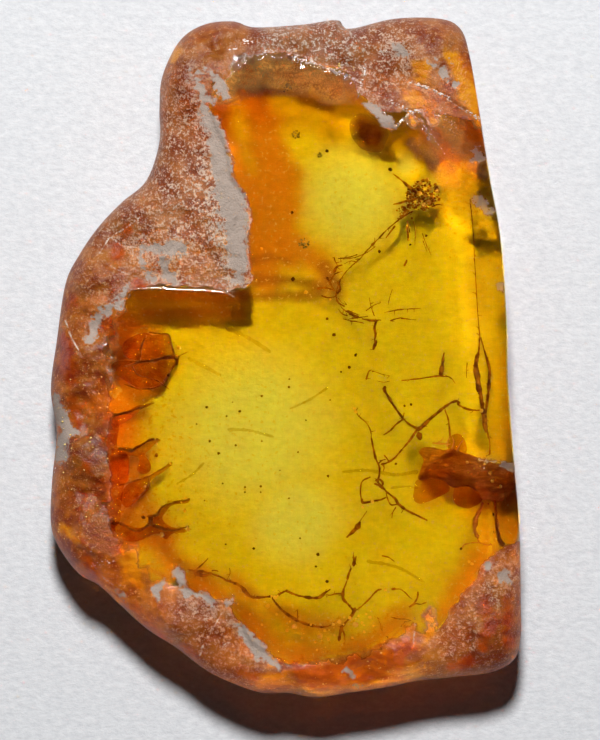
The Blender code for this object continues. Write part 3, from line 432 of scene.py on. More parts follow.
LOWER_STRANDS = (
    (0.03, 0.06, 3.2, 3.3, ((-5.27, -13.64), (-5.56, -13.95), (-5.81, -14.18), (-6.14, -14.46))),
    (0.04, 0.14, 3.3, 3.4, ((-6.65, -14.39), (-6.17, -14.49), (-5.7, -14.56))),
    (0.16, 0.06, 3.4, 3.4, ((-6.11, -14.66), (-5.63, -14.8), (-5.15, -14.73))),
    (0.09, 0.06, 3.4, 3.5, ((-5.7, -14.48), (-4.95, -14.7), (-4.41, -14.89), (-4.08, -15.1))),
    (0.06, 0.16, 3.5, 3.5, ((-4.08, -15.1), (-3.54, -15.27), (-2.99, -15.58), (-2.71, -15.92))),
    (0.16, 0.08, 3.5, 3.6, ((-2.71, -15.92), (-2.43, -16.19), (-2.13, -16.29))),
    (0.09, 0.07, 3.6, 3.6, ((-2.13, -16.29), (-1.48, -16.25), (-0.94, -16.19))),
    (0.07, 0.1, 3.6, 3.6, ((-0.67, -16.22), (-0.29, -15.97), (0.1, -15.81))),
    (0.03, 0.02, 3.5, 3.3, ((-3.81, -14.29), (-3.77, -14.66), (-4.0, -15.07))),
    (0.03, 0.03, 3.5, 3.5, ((-5.0, -14.46), (-4.81, -14.43), (-4.58, -14.5))),
    (0.08, 0.12, 3.6, 3.5, ((0.08, -15.85), (0.8, -16.14), (1.56, -16.29))),
    (0.13, 0.1, 3.5, 3.5, ((1.56, -16.29), (1.99, -16.31), (2.33, -16.25), (2.67, -15.95))),
    (0.1, 0.04, 3.5, 3.4, ((2.46, -16.16), (2.73, -15.92), (3.01, -15.75))),
    (0.05, 0.06, 3.5, 3.6, ((2.8, -16.14), (3.04, -16.11), (3.41, -16.03), (3.72, -16.02))),
    (0.16, 0.08, 3.6, 3.4, ((3.86, -16.08), (3.94, -15.7))),
    (0.06, 0.05, 3.4, 3.2, ((3.94, -15.7), (4.16, -15.16))),
    (0.1, 0.06, 3.2, 3.1, ((4.19, -15.04), (4.25, -14.76), (4.43, -14.32))),
    (0.15, 0.05, 3.1, 3.0, ((4.61, -14.11), (4.65, -13.82), (4.6, -13.48))),
    (0.07, 0.04, 3.1, 3.0, ((4.71, -13.91), (4.77, -13.52))),
    (0.1, 0.08, 3.6, 3.7, ((3.86, -16.12), (3.93, -16.43), (4.16, -16.67), (4.42, -16.95),
     (4.6, -17.16))),
    (0.17, 0.08, 3.7, 3.8, ((4.67, -17.07), (4.5, -17.45), (4.16, -17.86))),
    (0.08, 0.12, 3.8, 3.8, ((4.16, -17.86), (3.82, -18.26), (3.69, -18.67), (3.62, -19.15))),
    (0.1, 0.03, 3.8, 3.7, ((3.75, -18.26), (3.96, -18.74), (4.03, -19.22))),
    (0.05, 0.06, 3.7, 3.8, ((4.67, -17.11), (4.91, -17.05), (5.58, -16.46), (6.11, -15.85))),
    (0.09, 0.04, 3.8, 3.8, ((6.08, -15.92), (6.22, -15.78), (6.47, -15.71))),
    (0.1, 0.1, 3.8, 3.9, ((7.21, -15.71), (7.4, -15.69))),
    (0.04, 0.04, 3.9, 3.9, ((7.4, -15.69), (7.75, -15.7), (8.11, -15.95), (8.38, -16.25))),
    (0.06, 0.05, 3.9, 3.9, ((8.96, -15.88), (8.92, -16.29), (8.68, -16.67), (8.38, -16.9))),
    (0.07, 0.04, 3.9, 3.9, ((8.38, -16.9), (8.79, -16.69), (9.13, -16.73), (9.53, -16.6))),
    (0.05, 0.1, 3.6, 3.5, ((-0.9, -16.26), (-0.82, -16.46), (-0.29, -17.11))),
    (0.11, 0.12, 3.5, 3.4, ((-0.29, -17.11), (0.26, -17.54), (0.8, -17.86))),
    (0.12, 0.08, 3.4, 3.3, ((0.8, -17.86), (1.56, -18.14), (2.43, -18.31))),
    (0.06, 0.03, 3.3, 3.4, ((2.43, -18.31), (2.97, -18.2), (3.28, -17.96))),
    (0.03, 0.02, 3.4, 3.3, ((0.8, -17.11), (0.8, -17.72))),
    (0.03, 0.03, 3.5, 3.4, ((6.22, -17.65), (6.44, -18.13), (6.54, -18.54))),
    (0.04, 0.03, 3.2, 3.2, ((7.15, -17.62), (7.63, -17.74), (8.17, -17.76), (8.58, -17.89))),
    (0.05, 0.03, 3.2, 3.1, ((6.54, -13.46), (6.98, -13.57), (7.36, -13.84))),
)
UPPER_STRANDS = (
    (0.07, 0.09, 3.8, 3.8, ((8.58, 9.89), (8.11, 9.62), (7.73, 9.38))),
    (0.05, 0.04, 3.8, 3.7, ((7.73, 9.38), (7.36, 9.07), (6.95, 8.73))),
    (0.04, 0.05, 3.7, 3.6, ((6.95, 8.73), (6.61, 8.39), (6.34, 8.09))),
    (0.03, 0.04, 3.6, 3.5, ((6.34, 8.09), (5.93, 7.66), (5.45, 7.17), (5.05, 6.69))),
    (0.04, 0.03, 3.5, 3.4, ((5.05, 6.69), (4.57, 6.28), (4.16, 5.88), (3.75, 5.33))),
    (0.03, 0.03, 3.6, 3.5, ((6.07, 7.51), (5.45, 7.07), (4.64, 6.76), (3.89, 6.66))),
    (0.03, 0.03, 3.5, 3.5, ((4.84, 6.96), (4.3, 6.79), (3.55, 6.69))),
    (0.03, 0.02, 3.5, 3.4, ((4.84, 6.45), (4.37, 6.52), (3.96, 6.32))),
    (0.09, 0.03, 3.8, 3.8, ((5.86, 7.61), (6.03, 7.78), (6.17, 7.95))),
    (0.04, 0.06, 3.4, 3.5, ((3.75, 5.33), (3.52, 4.79), (3.41, 4.11), (3.58, 3.7), (3.96, 3.46))),
    (0.03, 0.02, 3.4, 3.4, ((3.55, 4.04), (3.82, 3.7), (4.13, 3.56))),
    (0.12, 0.12, 3.5, 3.5, ((4.33, 2.99), (4.64, 2.82), (4.91, 2.71))),
    (0.07, 0.03, 3.5, 3.5, ((4.2, 3.16), (4.57, 3.02), (5.01, 2.85))),
    (0.07, 0.02, 3.5, 3.6, ((4.5, 2.65), (5.05, 2.71), (5.56, 2.78))),
    (0.06, 0.02, 3.5, 3.6, ((4.37, 2.48), (4.84, 2.41), (5.32, 2.31))),
    (0.05, 0.02, 3.5, 3.4, ((4.3, 3.02), (3.89, 3.26), (3.65, 3.63))),
    (0.05, 0.02, 3.5, 3.4, ((4.16, 2.82), (3.82, 2.95), (3.58, 3.26))),
    (0.05, 0.02, 3.5, 3.4, ((4.5, 2.41), (4.16, 2.54), (3.89, 2.61))),
    (0.05, 0.08, 3.5, 3.5, ((5.18, 2.61), (5.66, 2.51), (6.13, 2.48))),
    (0.1, 0.08, 3.5, 3.5, ((6.13, 2.48), (6.02, 2.0), (6.1, 1.59))),
    (0.07, 0.05, 3.5, 3.6, ((6.1, 1.59), (6.03, 1.12), (6.13, 0.98))),
    (0.11, 0.08, 3.6, 3.6, ((6.13, 1.08), (6.03, 0.81), (5.93, 0.54))),
    (0.06, 0.03, 3.5, 3.5, ((6.13, 2.48), (6.34, 2.54), (6.47, 2.51))),
    (0.04, 0.03, 3.5, 3.5, ((6.95, 3.09), (7.63, 3.22), (8.38, 3.28), (9.13, 3.31))),
    (0.05, 0.03, 3.4, 3.4, ((7.09, 2.48), (7.7, 2.65), (8.45, 2.57), (8.85, 2.54))),
    (0.03, 0.02, 3.6, 3.5, ((7.22, 4.58), (7.05, 4.07), (6.95, 3.56))),
    (0.1, 0.04, 3.7, 3.7, ((8.04, 6.22), (8.14, 6.41), (8.21, 6.59))),
    (0.07, 0.03, 3.9, 3.8, ((8.24, 9.21), (8.34, 8.83), (8.41, 8.46))),
    (0.04, 0.02, 3.9, 3.8, ((8.65, 9.21), (8.75, 8.73), (8.79, 8.26))),
    (0.03, 0.02, 3.9, 3.8, ((9.26, 8.39), (9.53, 7.64), (9.87, 6.9))),
    (0.04, 0.02, 3.5, 3.5, ((6.0, 2.82), (5.79, 3.43), (5.66, 4.04))),
    (0.04, 0.02, 3.5, 3.5, ((5.45, 3.16), (5.93, 3.5), (6.41, 3.7))),
    (0.09, 0.05, 3.4, 3.4, ((3.28, 5.81), (3.48, 6.15), (3.82, 6.25))),
    (0.07, 0.04, 3.4, 3.4, ((3.01, 5.13), (3.28, 5.6), (3.55, 5.74))),
    (0.12, 0.06, 3.4, 3.4, ((3.55, 5.06), (3.69, 4.65), (3.48, 4.31))),
    (0.08, 0.04, 3.4, 3.4, ((2.8, 5.4), (3.07, 4.92), (3.28, 4.52))),
    (0.08, 0.05, 3.3, 3.3, ((2.19, 4.65), (2.67, 4.72), (3.14, 4.58))),
    (0.06, 0.03, 3.4, 3.4, ((2.46, 4.18), (2.87, 4.04), (3.35, 4.11))),
    (0.05, 0.02, 3.4, 3.4, ((3.28, 6.76), (3.41, 6.42), (3.75, 6.49))),
)
SIDE_STRANDS = (
    (0.03, 0.03, 4.1, 4.1, ((12.29, 10.7), (12.42, 9.34), (12.53, 7.98), (12.59, 6.49))),
    (0.03, 0.04, 4.1, 4.1, ((12.59, 6.49), (12.7, 4.58), (12.8, 2.88), (12.93, 1.46))),
    (0.05, 0.12, 4.1, 4.1, ((12.93, 1.46), (12.87, 0.5), (12.73, -0.45), (12.8, -1.26))),
    (0.05, 0.1, 4.1, 4.1, ((13.0, 1.32), (13.27, 0.37), (13.55, -0.58), (13.65, -1.26))),
    (0.14, 0.14, 4.0, 4.0, ((12.8, -0.99), (12.87, -1.81), (13.0, -2.62), (13.1, -3.44))),
    (0.13, 0.09, 4.0, 4.0, ((13.58, -0.99), (13.55, -1.94), (13.44, -2.9), (13.31, -3.85))),
    (0.16, 0.1, 4.0, 3.9, ((13.1, -3.17), (13.17, -3.85), (13.21, -4.53), (13.34, -5.07))),
    (0.09, 0.05, 3.9, 3.8, ((13.31, -3.85), (13.38, -4.66), (13.48, -5.48))),
    (0.07, 0.05, 3.8, 3.7, ((13.41, -4.94), (13.58, -5.77), (13.58, -6.59))),
    (0.03, 0.02, 4.1, 4.0, ((12.27, -0.38), (12.23, -0.92), (12.24, -1.4))),
)
BARK_STRANDS = (
    (0.1, 0.16, 3.4, 3.5, ((13.34, -9.9), (13.23, -10.23), (12.88, -10.92))),
    (0.16, 0.12, 3.5, 3.5, ((12.88, -10.92), (12.8, -11.63), (12.95, -12.14))),
    (0.08, 0.03, 3.5, 3.5, ((12.95, -12.14), (13.08, -12.58))),
    (0.1, 0.12, 3.4, 3.5, ((13.92, -9.7), (13.99, -10.58), (14.11, -11.33))),
    (0.12, 0.07, 3.5, 3.5, ((14.11, -11.33), (14.16, -12.1), (14.18, -12.92))),
    (0.14, 0.1, 3.5, 3.5, ((14.12, -13.13), (14.29, -13.5), (14.5, -13.5))),
    (0.08, 0.04, 3.5, 3.5, ((14.29, -13.16), (14.53, -13.27), (14.74, -13.54))),
    (0.06, 0.03, 3.5, 3.5, ((14.16, -13.23), (13.99, -13.5))),
    (0.06, 0.05, 3.4, 3.4, ((11.91, -13.02), (12.02, -12.82), (12.12, -12.69))),
    (0.05, 0.04, 3.4, 3.4, ((12.12, -12.69), (12.59, -12.57), (13.06, -12.53))),
    (0.05, 0.04, 3.4, 3.4, ((13.06, -12.51), (13.53, -12.77), (13.87, -13.1))),
    (0.05, 0.07, 3.6, 3.6, ((9.94, -5.81), (10.55, -5.85), (11.17, -5.88))),
    (0.04, 0.03, 3.6, 3.6, ((10.35, -5.75), (10.55, -5.63), (10.68, -5.43))),
    (0.1, 0.04, 3.6, 3.6, ((11.3, -6.16), (11.4, -5.75), (11.3, -5.41))),
    (0.09, 0.04, 3.6, 3.6, ((11.64, -6.3), (11.81, -5.89), (12.02, -5.62))),
    (0.08, 0.03, 3.6, 3.6, ((10.96, -6.02), (11.0, -5.68), (11.1, -5.38))),
)

# Spacing of the mesh of flakes, and of the finer veils.
PLATE_STEP = 0.16
VEIL_STEP = 0.14

# The bark flake and its three thinner lobes: levels, thicknesses and outlines. The first two
# lobes, light brown sheets below the flake, paint its shadow; the third is a small blob above it.
PLUME_LEVEL = 3.4
PLUME_THICKNESS = 0.8
PLUME = (
    (9.01, -6.36), (9.36, -6.12), (10.06, -6.12), (10.71, -6.3), (11.3, -6.19), (12.12, -6.47),
    (12.7, -6.65), (13.29, -6.94), (13.87, -7.3), (14.76, -7.35), (15.25, -7.59),
    (15.38, -8.06), (15.31, -8.74), (14.97, -9.29), (14.43, -9.7), (13.75, -9.76),
    (13.3, -9.6), (13.0, -9.1), (12.3, -8.75), (11.5, -8.85), (11.1, -8.7), (10.7, -8.35),
    (9.9, -8.2), (9.0, -8.3), (9.19, -7.52), (9.36, -6.94), (9.06, -6.53),
)
LOBE_LEVEL = 2.2
LOBE_THICKNESS = 0.3
LOBES_AND_SHADOW = (
    ((8.92, -8.34), (9.81, -8.2), (10.69, -8.34), (11.1, -8.74), (11.1, -9.08), (10.59, -9.4),
     (9.94, -9.7), (9.13, -9.96), (8.68, -9.63), (8.72, -9.0)),
    ((11.51, -8.81), (12.25, -8.68), (13.07, -8.95), (13.41, -9.49), (13.21, -9.9),
     (12.66, -10.21), (12.23, -10.25), (11.64, -10.05), (11.37, -9.58)),
    ((11.2, -6.5), (11.05, -5.9), (11.3, -5.3), (11.8, -5.2), (12.2, -5.7), (12.25, -6.5)),
)

# The clump of debris: level, number and sizes of its grains. Then the same for the smaller clump
# beside it, with its start, its run and how far its grains stray. Then the clump's outline.
DEBRIS_LEVEL = 3.9
DEBRIS_GRAINS = 210
DEBRIS_SIZES = (0.04, 0.14)
SIDE_LEVEL = 3.8
SIDE_GRAINS = 70
SIDE_SIZES = (0.03, 0.11)
SIDE_START = (8.5, 10.3)
SIDE_RUN = (-0.9, -0.7)
SIDE_SPREAD = 0.2
DEBRIS = (
    (8.3, 11.4), (9.0, 12.0), (9.9, 11.9), (10.5, 11.3), (10.4, 10.5), (9.8, 10.1), (9.1, 9.9),
    (8.5, 10.2), (8.2, 10.8),
)

# Spikes and whiskers of the debris, given as threads are, and its pale pellets: x, y, radius.
DEBRIS_SPIKES = (
    (0.14, 0.03, 3.9, 4.1, ((8.83, 11.14), (8.24, 11.64), (7.97, 11.88), (7.53, 12.23), (7.26, 12.42))),
    (0.13, 0.04, 3.9, 4.0, ((8.9, 10.78), (8.51, 10.63), (8.04, 10.55), (7.69, 10.43), (7.3, 10.36))),
    (0.07, 0.03, 3.8, 3.7, ((7.4, 8.9), (7.1, 8.5), (6.8, 8.1))),
    (0.05, 0.07, 3.8, 3.7, ((8.2, 8.9), (8.28, 8.4), (8.3, 7.9))),
    (0.03, 0.03, 3.8, 3.7, ((8.75, 8.85), (8.78, 8.2), (8.75, 7.6))),
    (0.03, 0.03, 3.8, 3.7, ((9.3, 7.9), (9.45, 7.5), (9.55, 7.2))),
    (0.05, 0.02, 3.8, 3.9, ((9.9, 10.2), (10.3, 10.35), (10.7, 10.3))),
)
PELLET_LEVEL = 4.3
PELLETS = (
    (9.05, 11.1, 0.17), (9.55, 12.0, 0.15), (10.25, 11.25, 0.15), (9.68, 10.5, 0.17),
    (9.35, 10.3, 0.17), (9.1, 11.75, 0.14), (9.8, 11.4, 0.13), (9.5, 10.9, 0.12),
)

# Brown veils that hang in the amber under its left edge: level and outline of each.
VEIL_THICKNESS = 0.25
VEILS = (
    (1.6, ((-11.68, -0.38), (-11.0, -0.21), (-10.32, -0.24), (-9.51, -0.28), (-8.69, -0.07),
           (-8.01, 0.13), (-7.4, 0.16), (-7.26, -0.07), (-7.53, -0.58), (-7.81, -0.92), (-7.98, -1.4),
           (-8.28, -1.88), (-8.76, -2.08), (-9.51, -2.15), (-10.12, -2.05), (-10.8, -1.67),
           (-11.41, -1.26), (-11.82, -0.79))),
    (1.3, ((-11.0, 0.98), (-10.12, 1.59), (-9.44, 1.66), (-9.1, 1.52), (-8.49, 1.56), (-7.94, 1.52),
           (-7.74, 0.91), (-7.57, 0.23), (-8.01, 0.16), (-8.76, -0.04), (-9.51, -0.21),
           (-10.32, -0.18), (-11.0, 0.16))),
)

# Brown claws below them, and the skirt that they come from: level and outline of each.
CLAWS = (
    (1.5, ((-12.36, -3.64), (-11.82, -3.81), (-11.14, -3.78), (-10.53, -3.51), (-10.05, -3.27),
           (-9.51, -3.17), (-8.89, -3.07), (-9.37, -3.34), (-9.85, -3.54), (-10.12, -3.81),
           (-10.53, -4.15), (-11.0, -4.46), (-11.41, -4.73), (-11.68, -5.0), (-11.89, -4.6),
           (-12.23, -4.12))),
    (1.4, ((-11.41, -6.23), (-10.8, -6.13), (-10.25, -6.23), (-9.78, -5.82), (-9.23, -5.62),
           (-8.76, -5.55), (-8.49, -5.65), (-8.83, -5.85), (-9.3, -6.3), (-9.57, -6.64),
           (-9.23, -7.18), (-9.23, -7.72), (-9.71, -7.96), (-10.12, -7.66), (-9.98, -6.91),
           (-10.39, -6.7), (-11.0, -6.7), (-11.55, -6.57))),
    (1.3, ((-10.8, -8.68), (-10.12, -8.34), (-9.44, -8.1), (-8.89, -7.86), (-8.35, -7.55),
           (-7.81, -7.15), (-7.74, -7.28), (-8.28, -7.76), (-8.76, -8.06), (-9.17, -8.37),
           (-9.3, -8.95), (-9.71, -9.42), (-10.32, -9.9), (-10.87, -10.24), (-11.27, -9.7),
           (-11.14, -9.15))),
    (1.4, ((-12.09, -11.12), (-11.48, -11.23), (-10.8, -11.4), (-10.12, -11.6), (-9.37, -11.46),
           (-9.1, -11.06), (-8.76, -10.65), (-8.35, -10.24), (-7.87, -9.9), (-7.33, -9.73),
           (-6.79, -9.73), (-6.51, -9.56), (-6.65, -9.9), (-7.26, -9.97), (-7.81, -10.1),
           (-8.15, -10.51), (-8.42, -10.92), (-8.15, -11.33), (-7.6, -11.6), (-6.92, -11.67),
           (-6.38, -11.67), (-6.99, -11.94), (-7.74, -12.01), (-8.15, -12.42), (-8.55, -12.01),
           (-9.1, -12.08), (-9.78, -12.42), (-10.59, -12.55), (-11.41, -12.14), (-11.95, -11.67))),
    (2.1, ((-12.6, -3.4), (-11.8, -3.9), (-11.3, -4.6), (-11.4, -6.1), (-10.7, -6.7), (-10.7, -8.2),
           (-11.0, -8.8), (-11.2, -10.3), (-11.3, -11.2), (-12.1, -12.1), (-12.9, -11.0), (-13.0, -7.0),
           (-12.9, -4.4))),
)

# Ribs along the rims of the veils and claws, given as threads are.
VEINS = (
    (0.07, 0.12, 1.9, 1.9, ((-10.95, -0.62), (-9.89, -0.3), (-8.94, -0.25), (-8.3, -0.04), (-7.45, 0.02))),
    (0.16, 0.08, 1.9, 1.9, ((-7.5, 0.02), (-7.39, -0.2), (-7.42, -0.48))),
    (0.03, 0.02, 1.9, 1.9, ((-7.3, 0.05), (-6.95, 0.25), (-6.6, 0.39))),
    (0.07, 0.07, 1.7, 1.7, ((-9.25, 1.71), (-8.51, 1.61), (-7.98, 1.5), (-7.77, 0.86), (-7.6, 0.15))),
    (0.05, 0.05, 1.7, 1.7, ((-9.47, 1.5), (-9.79, 0.76), (-9.89, -0.25))),
    (0.05, 0.03, 1.9, 1.9, ((-10.42, -0.62), (-10.1, -1.16), (-9.47, -1.37), (-8.72, -1.58), (-8.3, -1.9),
     (-7.93, -2.16))),
    (0.06, 0.05, 1.8, 1.8, ((-10.95, -1.83), (-10.2, -2.08), (-9.47, -2.12), (-8.7, -1.97), (-8.2, -1.51),
     (-7.87, -0.88), (-7.6, -0.5))),
    (0.1, 0.03, 1.7, 1.7, ((-11.9, -3.95), (-11.06, -3.81), (-10.53, -3.65), (-10.1, -3.49),
     (-9.57, -3.33), (-8.94, -3.07))),
    (0.12, 0.07, 1.7, 1.7, ((-11.3, -6.22), (-10.53, -6.36), (-10.21, -6.15), (-9.79, -5.94),
     (-9.26, -5.62), (-8.72, -5.56))),
    (0.08, 0.06, 1.7, 1.7, ((-11.3, -8.7), (-10.2, -8.38), (-9.36, -8.11), (-8.72, -7.74),
     (-8.3, -7.53), (-7.77, -7.16))),
    (0.05, 0.05, 1.7, 1.7, ((-9.3, -8.2), (-9.4, -8.8), (-9.8, -9.3), (-10.4, -9.8))),
    (0.12, 0.06, 1.7, 1.7, ((-9.36, -10.83), (-8.72, -10.72), (-8.51, -10.29), (-8.09, -10.02),
     (-7.55, -9.87), (-7.02, -9.81), (-6.6, -9.66))),
    (0.16, 0.05, 1.7, 1.7, ((-9.2, -10.9), (-9.1, -11.36), (-8.3, -11.67), (-7.66, -11.78),
     (-7.02, -11.62), (-6.6, -11.5))),
    (0.13, 0.08, 1.7, 1.7, ((-9.26, -11.36), (-10.0, -11.78), (-10.53, -11.67), (-11.38, -11.25),
     (-12.34, -11.2))),
)

# The dark blot under the top edge: a dark flake that paints the shadow of the crust patch above.
SHADOW_BLOT_LEVEL = 1.2
SHADOW_BLOT_THICKNESS = 0.5
SHADOW_BLOT = (
    (4.4, 16.1), (5.0, 16.6), (5.9, 16.4), (6.7, 15.9), (7.0, 15.2), (6.8, 14.6), (6.5, 14.0),
    (5.8, 14.0), (5.2, 14.2), (4.7, 14.7), (4.4, 15.3),
)

# Faint streaks deep in the amber, given as threads are.
STREAKS = (
    (0.12, 0.16, 1.0, 1.0, ((-6.6, -0.1), (-5.6, -0.6), (-4.5, -1.2))),
    (0.16, 0.14, 1.0, 1.0, ((-4.0, 2.0), (-2.5, 1.3), (-1.1, 0.4))),
    (0.10, 0.10, 1.0, 1.0, ((-3.9, -4.9), (-2.4, -5.0), (-0.9, -5.4))),
    (0.10, 0.12, 1.0, 1.0, ((3.9, -7.8), (5.6, -7.7), (7.4, -8.0), (8.9, -7.8))),
    (0.08, 0.08, 1.0, 1.0, ((7.2, -8.9), (8.1, -8.8), (9.0, -8.9))),
    (0.12, 0.08, 1.0, 1.0, ((5.6, -13.9), (7.6, -14.3), (9.4, -15.3))),
    (0.08, 0.08, 1.0, 1.0, ((0.3, -3.5), (1.6, -2.9), (2.8, -2.1))),
    (0.08, 0.08, 1.0, 1.0, ((-7.4, -8.6), (-6.4, -8.0), (-5.6, -7.2))),
)

# Grey fuzzy spots under the polished face: their level, the grains in each, and x, y, radius.
SMUDGE_LEVEL = 7.3
SMUDGE_GRAINS = 26
SMUDGES = (
    (-1.69, 19.3, 0.42), (0.08, 18.1, 0.34), (0.69, 14.99, 0.3), (1.24, 7.64, 0.34),
    (2.3, 13.6, 0.16),
)

# Dark specks, and small gas bubbles coloured bright golden as painted highlights: their middle
# level and how far they stray from it, and x, y, radius.
SPECK_LEVELS = (3.6, 0.6)
BUBBLE_LEVELS = (6.6, 0.3)
SPECKS = (
    (-5.36, -3.37, 0.11), (-3.11, -3.64, 0.1), (-4.0, -3.98, 0.07), (-5.15, -5.68, 0.09),
    (-3.39, -5.96, 0.08), (-4.54, -6.5, 0.11), (-1.62, -5.68, 0.07), (0.83, -6.43, 0.07),
    (-2.77, -8.81, 0.08), (-2.77, -9.15, 0.07), (-1.69, -8.74, 0.09), (-1.69, -9.15, 0.07),
    (-4.27, -8.54, 0.07), (2.87, -8.06, 0.1), (0.22, -9.56, 0.07), (4.75, 0.18, 0.12),
    (-4.07, -12.69, 0.07), (0.97, -12.28, 0.07), (2.19, -13.37, 0.12), (2.05, -14.18, 0.09),
    (2.8, -15.2, 0.12), (-1.62, -2.62, 0.1), (0.22, -2.01, 0.09), (4.3, -0.68, 0.12),
    (-2.16, -12.96, 0.1), (8.06, -3.28, 0.09), (8.5, -3.2, 0.09), (7.46, -7.2, 0.09),
    (13.7, -10.61, 0.12), (13.67, -11.8, 0.11), (11.88, -12.98, 0.1), (2.8, 13.97, 0.12),
    (0.42, 9.82, 0.11), (0.49, 5.3, 0.15), (2.8, 2.61, 0.11), (3.28, 1.52, 0.14),
    (0.25, -1.47, 0.07), (-8.76, -6.64, 0.14), (-9.64, -10.85, 0.14), (-7.94, -1.2, 0.14),
    (6.34, 7.17, 0.11), (9.53, 8.26, 0.1), (7.09, 12.74, 0.14), (8.45, 7.64, 0.1),
    (3.75, -0.99, 0.07), (3.01, -2.9, 0.06), (1.37, -4.26, 0.06), (-0.39, -7.66, 0.05),
    (-5.49, -9.7, 0.06), (-6.04, -4.53, 0.06), (-3.59, -3.03, 0.05),
)
BUBBLE_GLINTS = (
    (4.64, -3.45, 0.11), (4.73, -3.67, 0.13), (-0.71, -16.16, 0.15), (-0.94, -16.09, 0.09),
    (-0.53, -16.05, 0.08), (5.85, -9.73, 0.12), (1.37, 4.38, 0.14), (0.58, -18.14, 0.18),
    (2.33, -18.79, 0.2), (3.62, -17.82, 0.14), (4.71, -17.98, 0.19), (5.68, -17.49, 0.12),
    (5.14, -17.87, 0.11), (2.65, -18.4, 0.11), (-1.21, -16.77, 0.15), (4.32, -17.54, 0.12),
    (6.71, -15.65, 0.11), (5.2, -10.09, 0.1), (3.96, -17.52, 0.08), (3.21, -17.99, 0.1),
    (12.53, -13.91, 0.11), (13.07, -14.18, 0.1), (12.36, -13.78, 0.1), (-6.79, -10.34, 0.12),
    (-6.58, -11.59, 0.16), (-8.35, -11.94, 0.15), (-7.33, 0.03, 0.11), (-7.19, 0.64, 0.14),
    (13.14, -3.6, 0.13), (12.23, -7.06, 0.1), (13.7, -7.79, 0.12), (13.87, -8.32, 0.12),
    (14.4, -8.7, 0.11), (13.34, -7.18, 0.08), (3.01, 3.9, 0.08), (-1.62, 7.3, 0.1),
    (-0.6, -17.3, 0.1), (0.1, -18.4, 0.12), (1.1, -18.9, 0.1), (1.7, -18.0, 0.08),
    (2.0, -19.2, 0.09), (2.9, -19.0, 0.12), (3.3, -18.7, 0.08), (4.5, -18.9, 0.09),
    (5.3, -18.5, 0.1), (5.9, -18.1, 0.08), (0.3, -17.8, 0.07), (4.9, -17.4, 0.08),
    (3.9, -18.0, 0.07), (-1.6, -18.0, 0.09), (-2.4, -17.3, 0.08), (-3.2, -16.6, 0.08),
    (-8.78, -5.51, 0.06), (-8.67, -5.83, 0.08), (-7.76, -7.16, 0.08), (-9.47, -8.7, 0.06),
    (-6.7, -9.5, 0.08), (-7.02, -9.76, 0.07), (-6.6, -11.46, 0.08), (-12.0, 0.0, 0.09),
    (-11.7, -2.3, 0.07), (-12.35, -4.9, 0.07), (-12.6, -5.3, 0.09), (-11.7, -5.8, 0.07),
    (13.1, -6.75, 0.06), (13.5, -6.85, 0.07), (14.2, -6.95, 0.07), (14.8, -7.1, 0.06),
    (15.2, -7.25, 0.05), (12.3, -7.75, 0.06), (12.7, -7.5, 0.06), (13.1, -7.35, 0.06),
)

# The lamp, in metres and watts: how far it leans from overhead, its distance, its shift to the
# left, the place it points at, its width and its power.
KEY_TILT = math.radians(29.0)
KEY_FAR = 0.33
KEY_SIDE = -0.004
KEY_AIM = (0.0, 0.0, 0.004)
KEY_SIZE = 0.05
KEY_WATTS = 1.19

# The dim room: heights between which its pale band fades, and its light within and past the band.
ROOM_BAND = (0.05, 0.16)
ROOM_LIGHT = (0.10, 0.016)
ROOM_COLOUR = (1.0, 0.97, 0.94, 1.0)

# The paper and the camera, in metres and for the lens in millimetres, and how often light may
# pass through clear surfaces.
PAPER_WIDTH = 1.2
PAPER_LEVEL = -0.00004
CAMERA_PLACE = (0.00097, -0.00086, 0.3045)
CAMERA_LENS = 215.0
CLEAR_BOUNCES = 14


def bend(before, start, end, beyond, share):
    """Places at shares of the way along the smooth bend from a start to an end."""
    return 0.5 * (2.0 * start + (end - before) * share
                  + (2.0 * before - 5.0 * start + 4.0 * end - beyond) * share**2
                  + (3.0 * start - before - 3.0 * end + beyond) * share**3)


def closed_curve(points, step):
    """Points about one step apart along a smooth closed curve through the given points."""
    rows = numpy.array(points, dtype=float)
    share = numpy.linspace(0.0, 1.0, 16, endpoint=False)[:, None, None]
    fine = bend(*(numpy.roll(rows, shift, axis=0) for shift in (1, 0, -1, -2)), share)
    fine = fine.transpose(1, 0, 2).reshape(-1, 2)
    loop = numpy.vstack([fine, fine[:1]])
    along = numpy.concatenate([[0.0], numpy.cumsum(numpy.hypot(*numpy.diff(loop, axis=0).T))])
    places = numpy.linspace(0.0, along[-1], max(8, round(along[-1] / step)), endpoint=False)
    return numpy.stack([numpy.interp(places, along, loop[:, axis]) for axis in (0, 1)], axis=1)


def offset(loop, depth):
    """The closed loop moved inwards by a depth."""
    along = numpy.roll(loop, -1, axis=0) - numpy.roll(loop, 1, axis=0)
    inward = numpy.stack([-along[:, 1], along[:, 0]], axis=1)
    return loop + inward / numpy.linalg.norm(inward, axis=1)[:, None] * depth


def distance(points, loop):
    """Shortest distance from each point to the closed loop."""
    ends = numpy.roll(loop, -1, axis=0)
    run = ends - loop
    length = (run**2).sum(axis=1)
    nearest = numpy.full(len(points), numpy.inf)
    for start, step, square in zip(loop, run, length):
        gap = points - start
        share = numpy.clip((gap @ step) / square, 0.0, 1.0)
        away = gap - share[:, None] * step
        nearest = numpy.minimum(nearest, (away**2).sum(axis=1))
    return numpy.sqrt(nearest)


def inside(points, loop):
    """True for each point within the closed loop."""
    ends = numpy.roll(loop, -1, axis=0)
    within = numpy.zeros(len(points), dtype=bool)
    for (x0, y0), (x1, y1) in zip(loop, ends):
        if y0 == y1:
            continue
        crosses = (y0 > points[:, 1]) != (y1 > points[:, 1])
        within ^= crosses & (points[:, 0] < x0 + (points[:, 1] - y0) * (x1 - x0) / (y1 - y0))
    return within


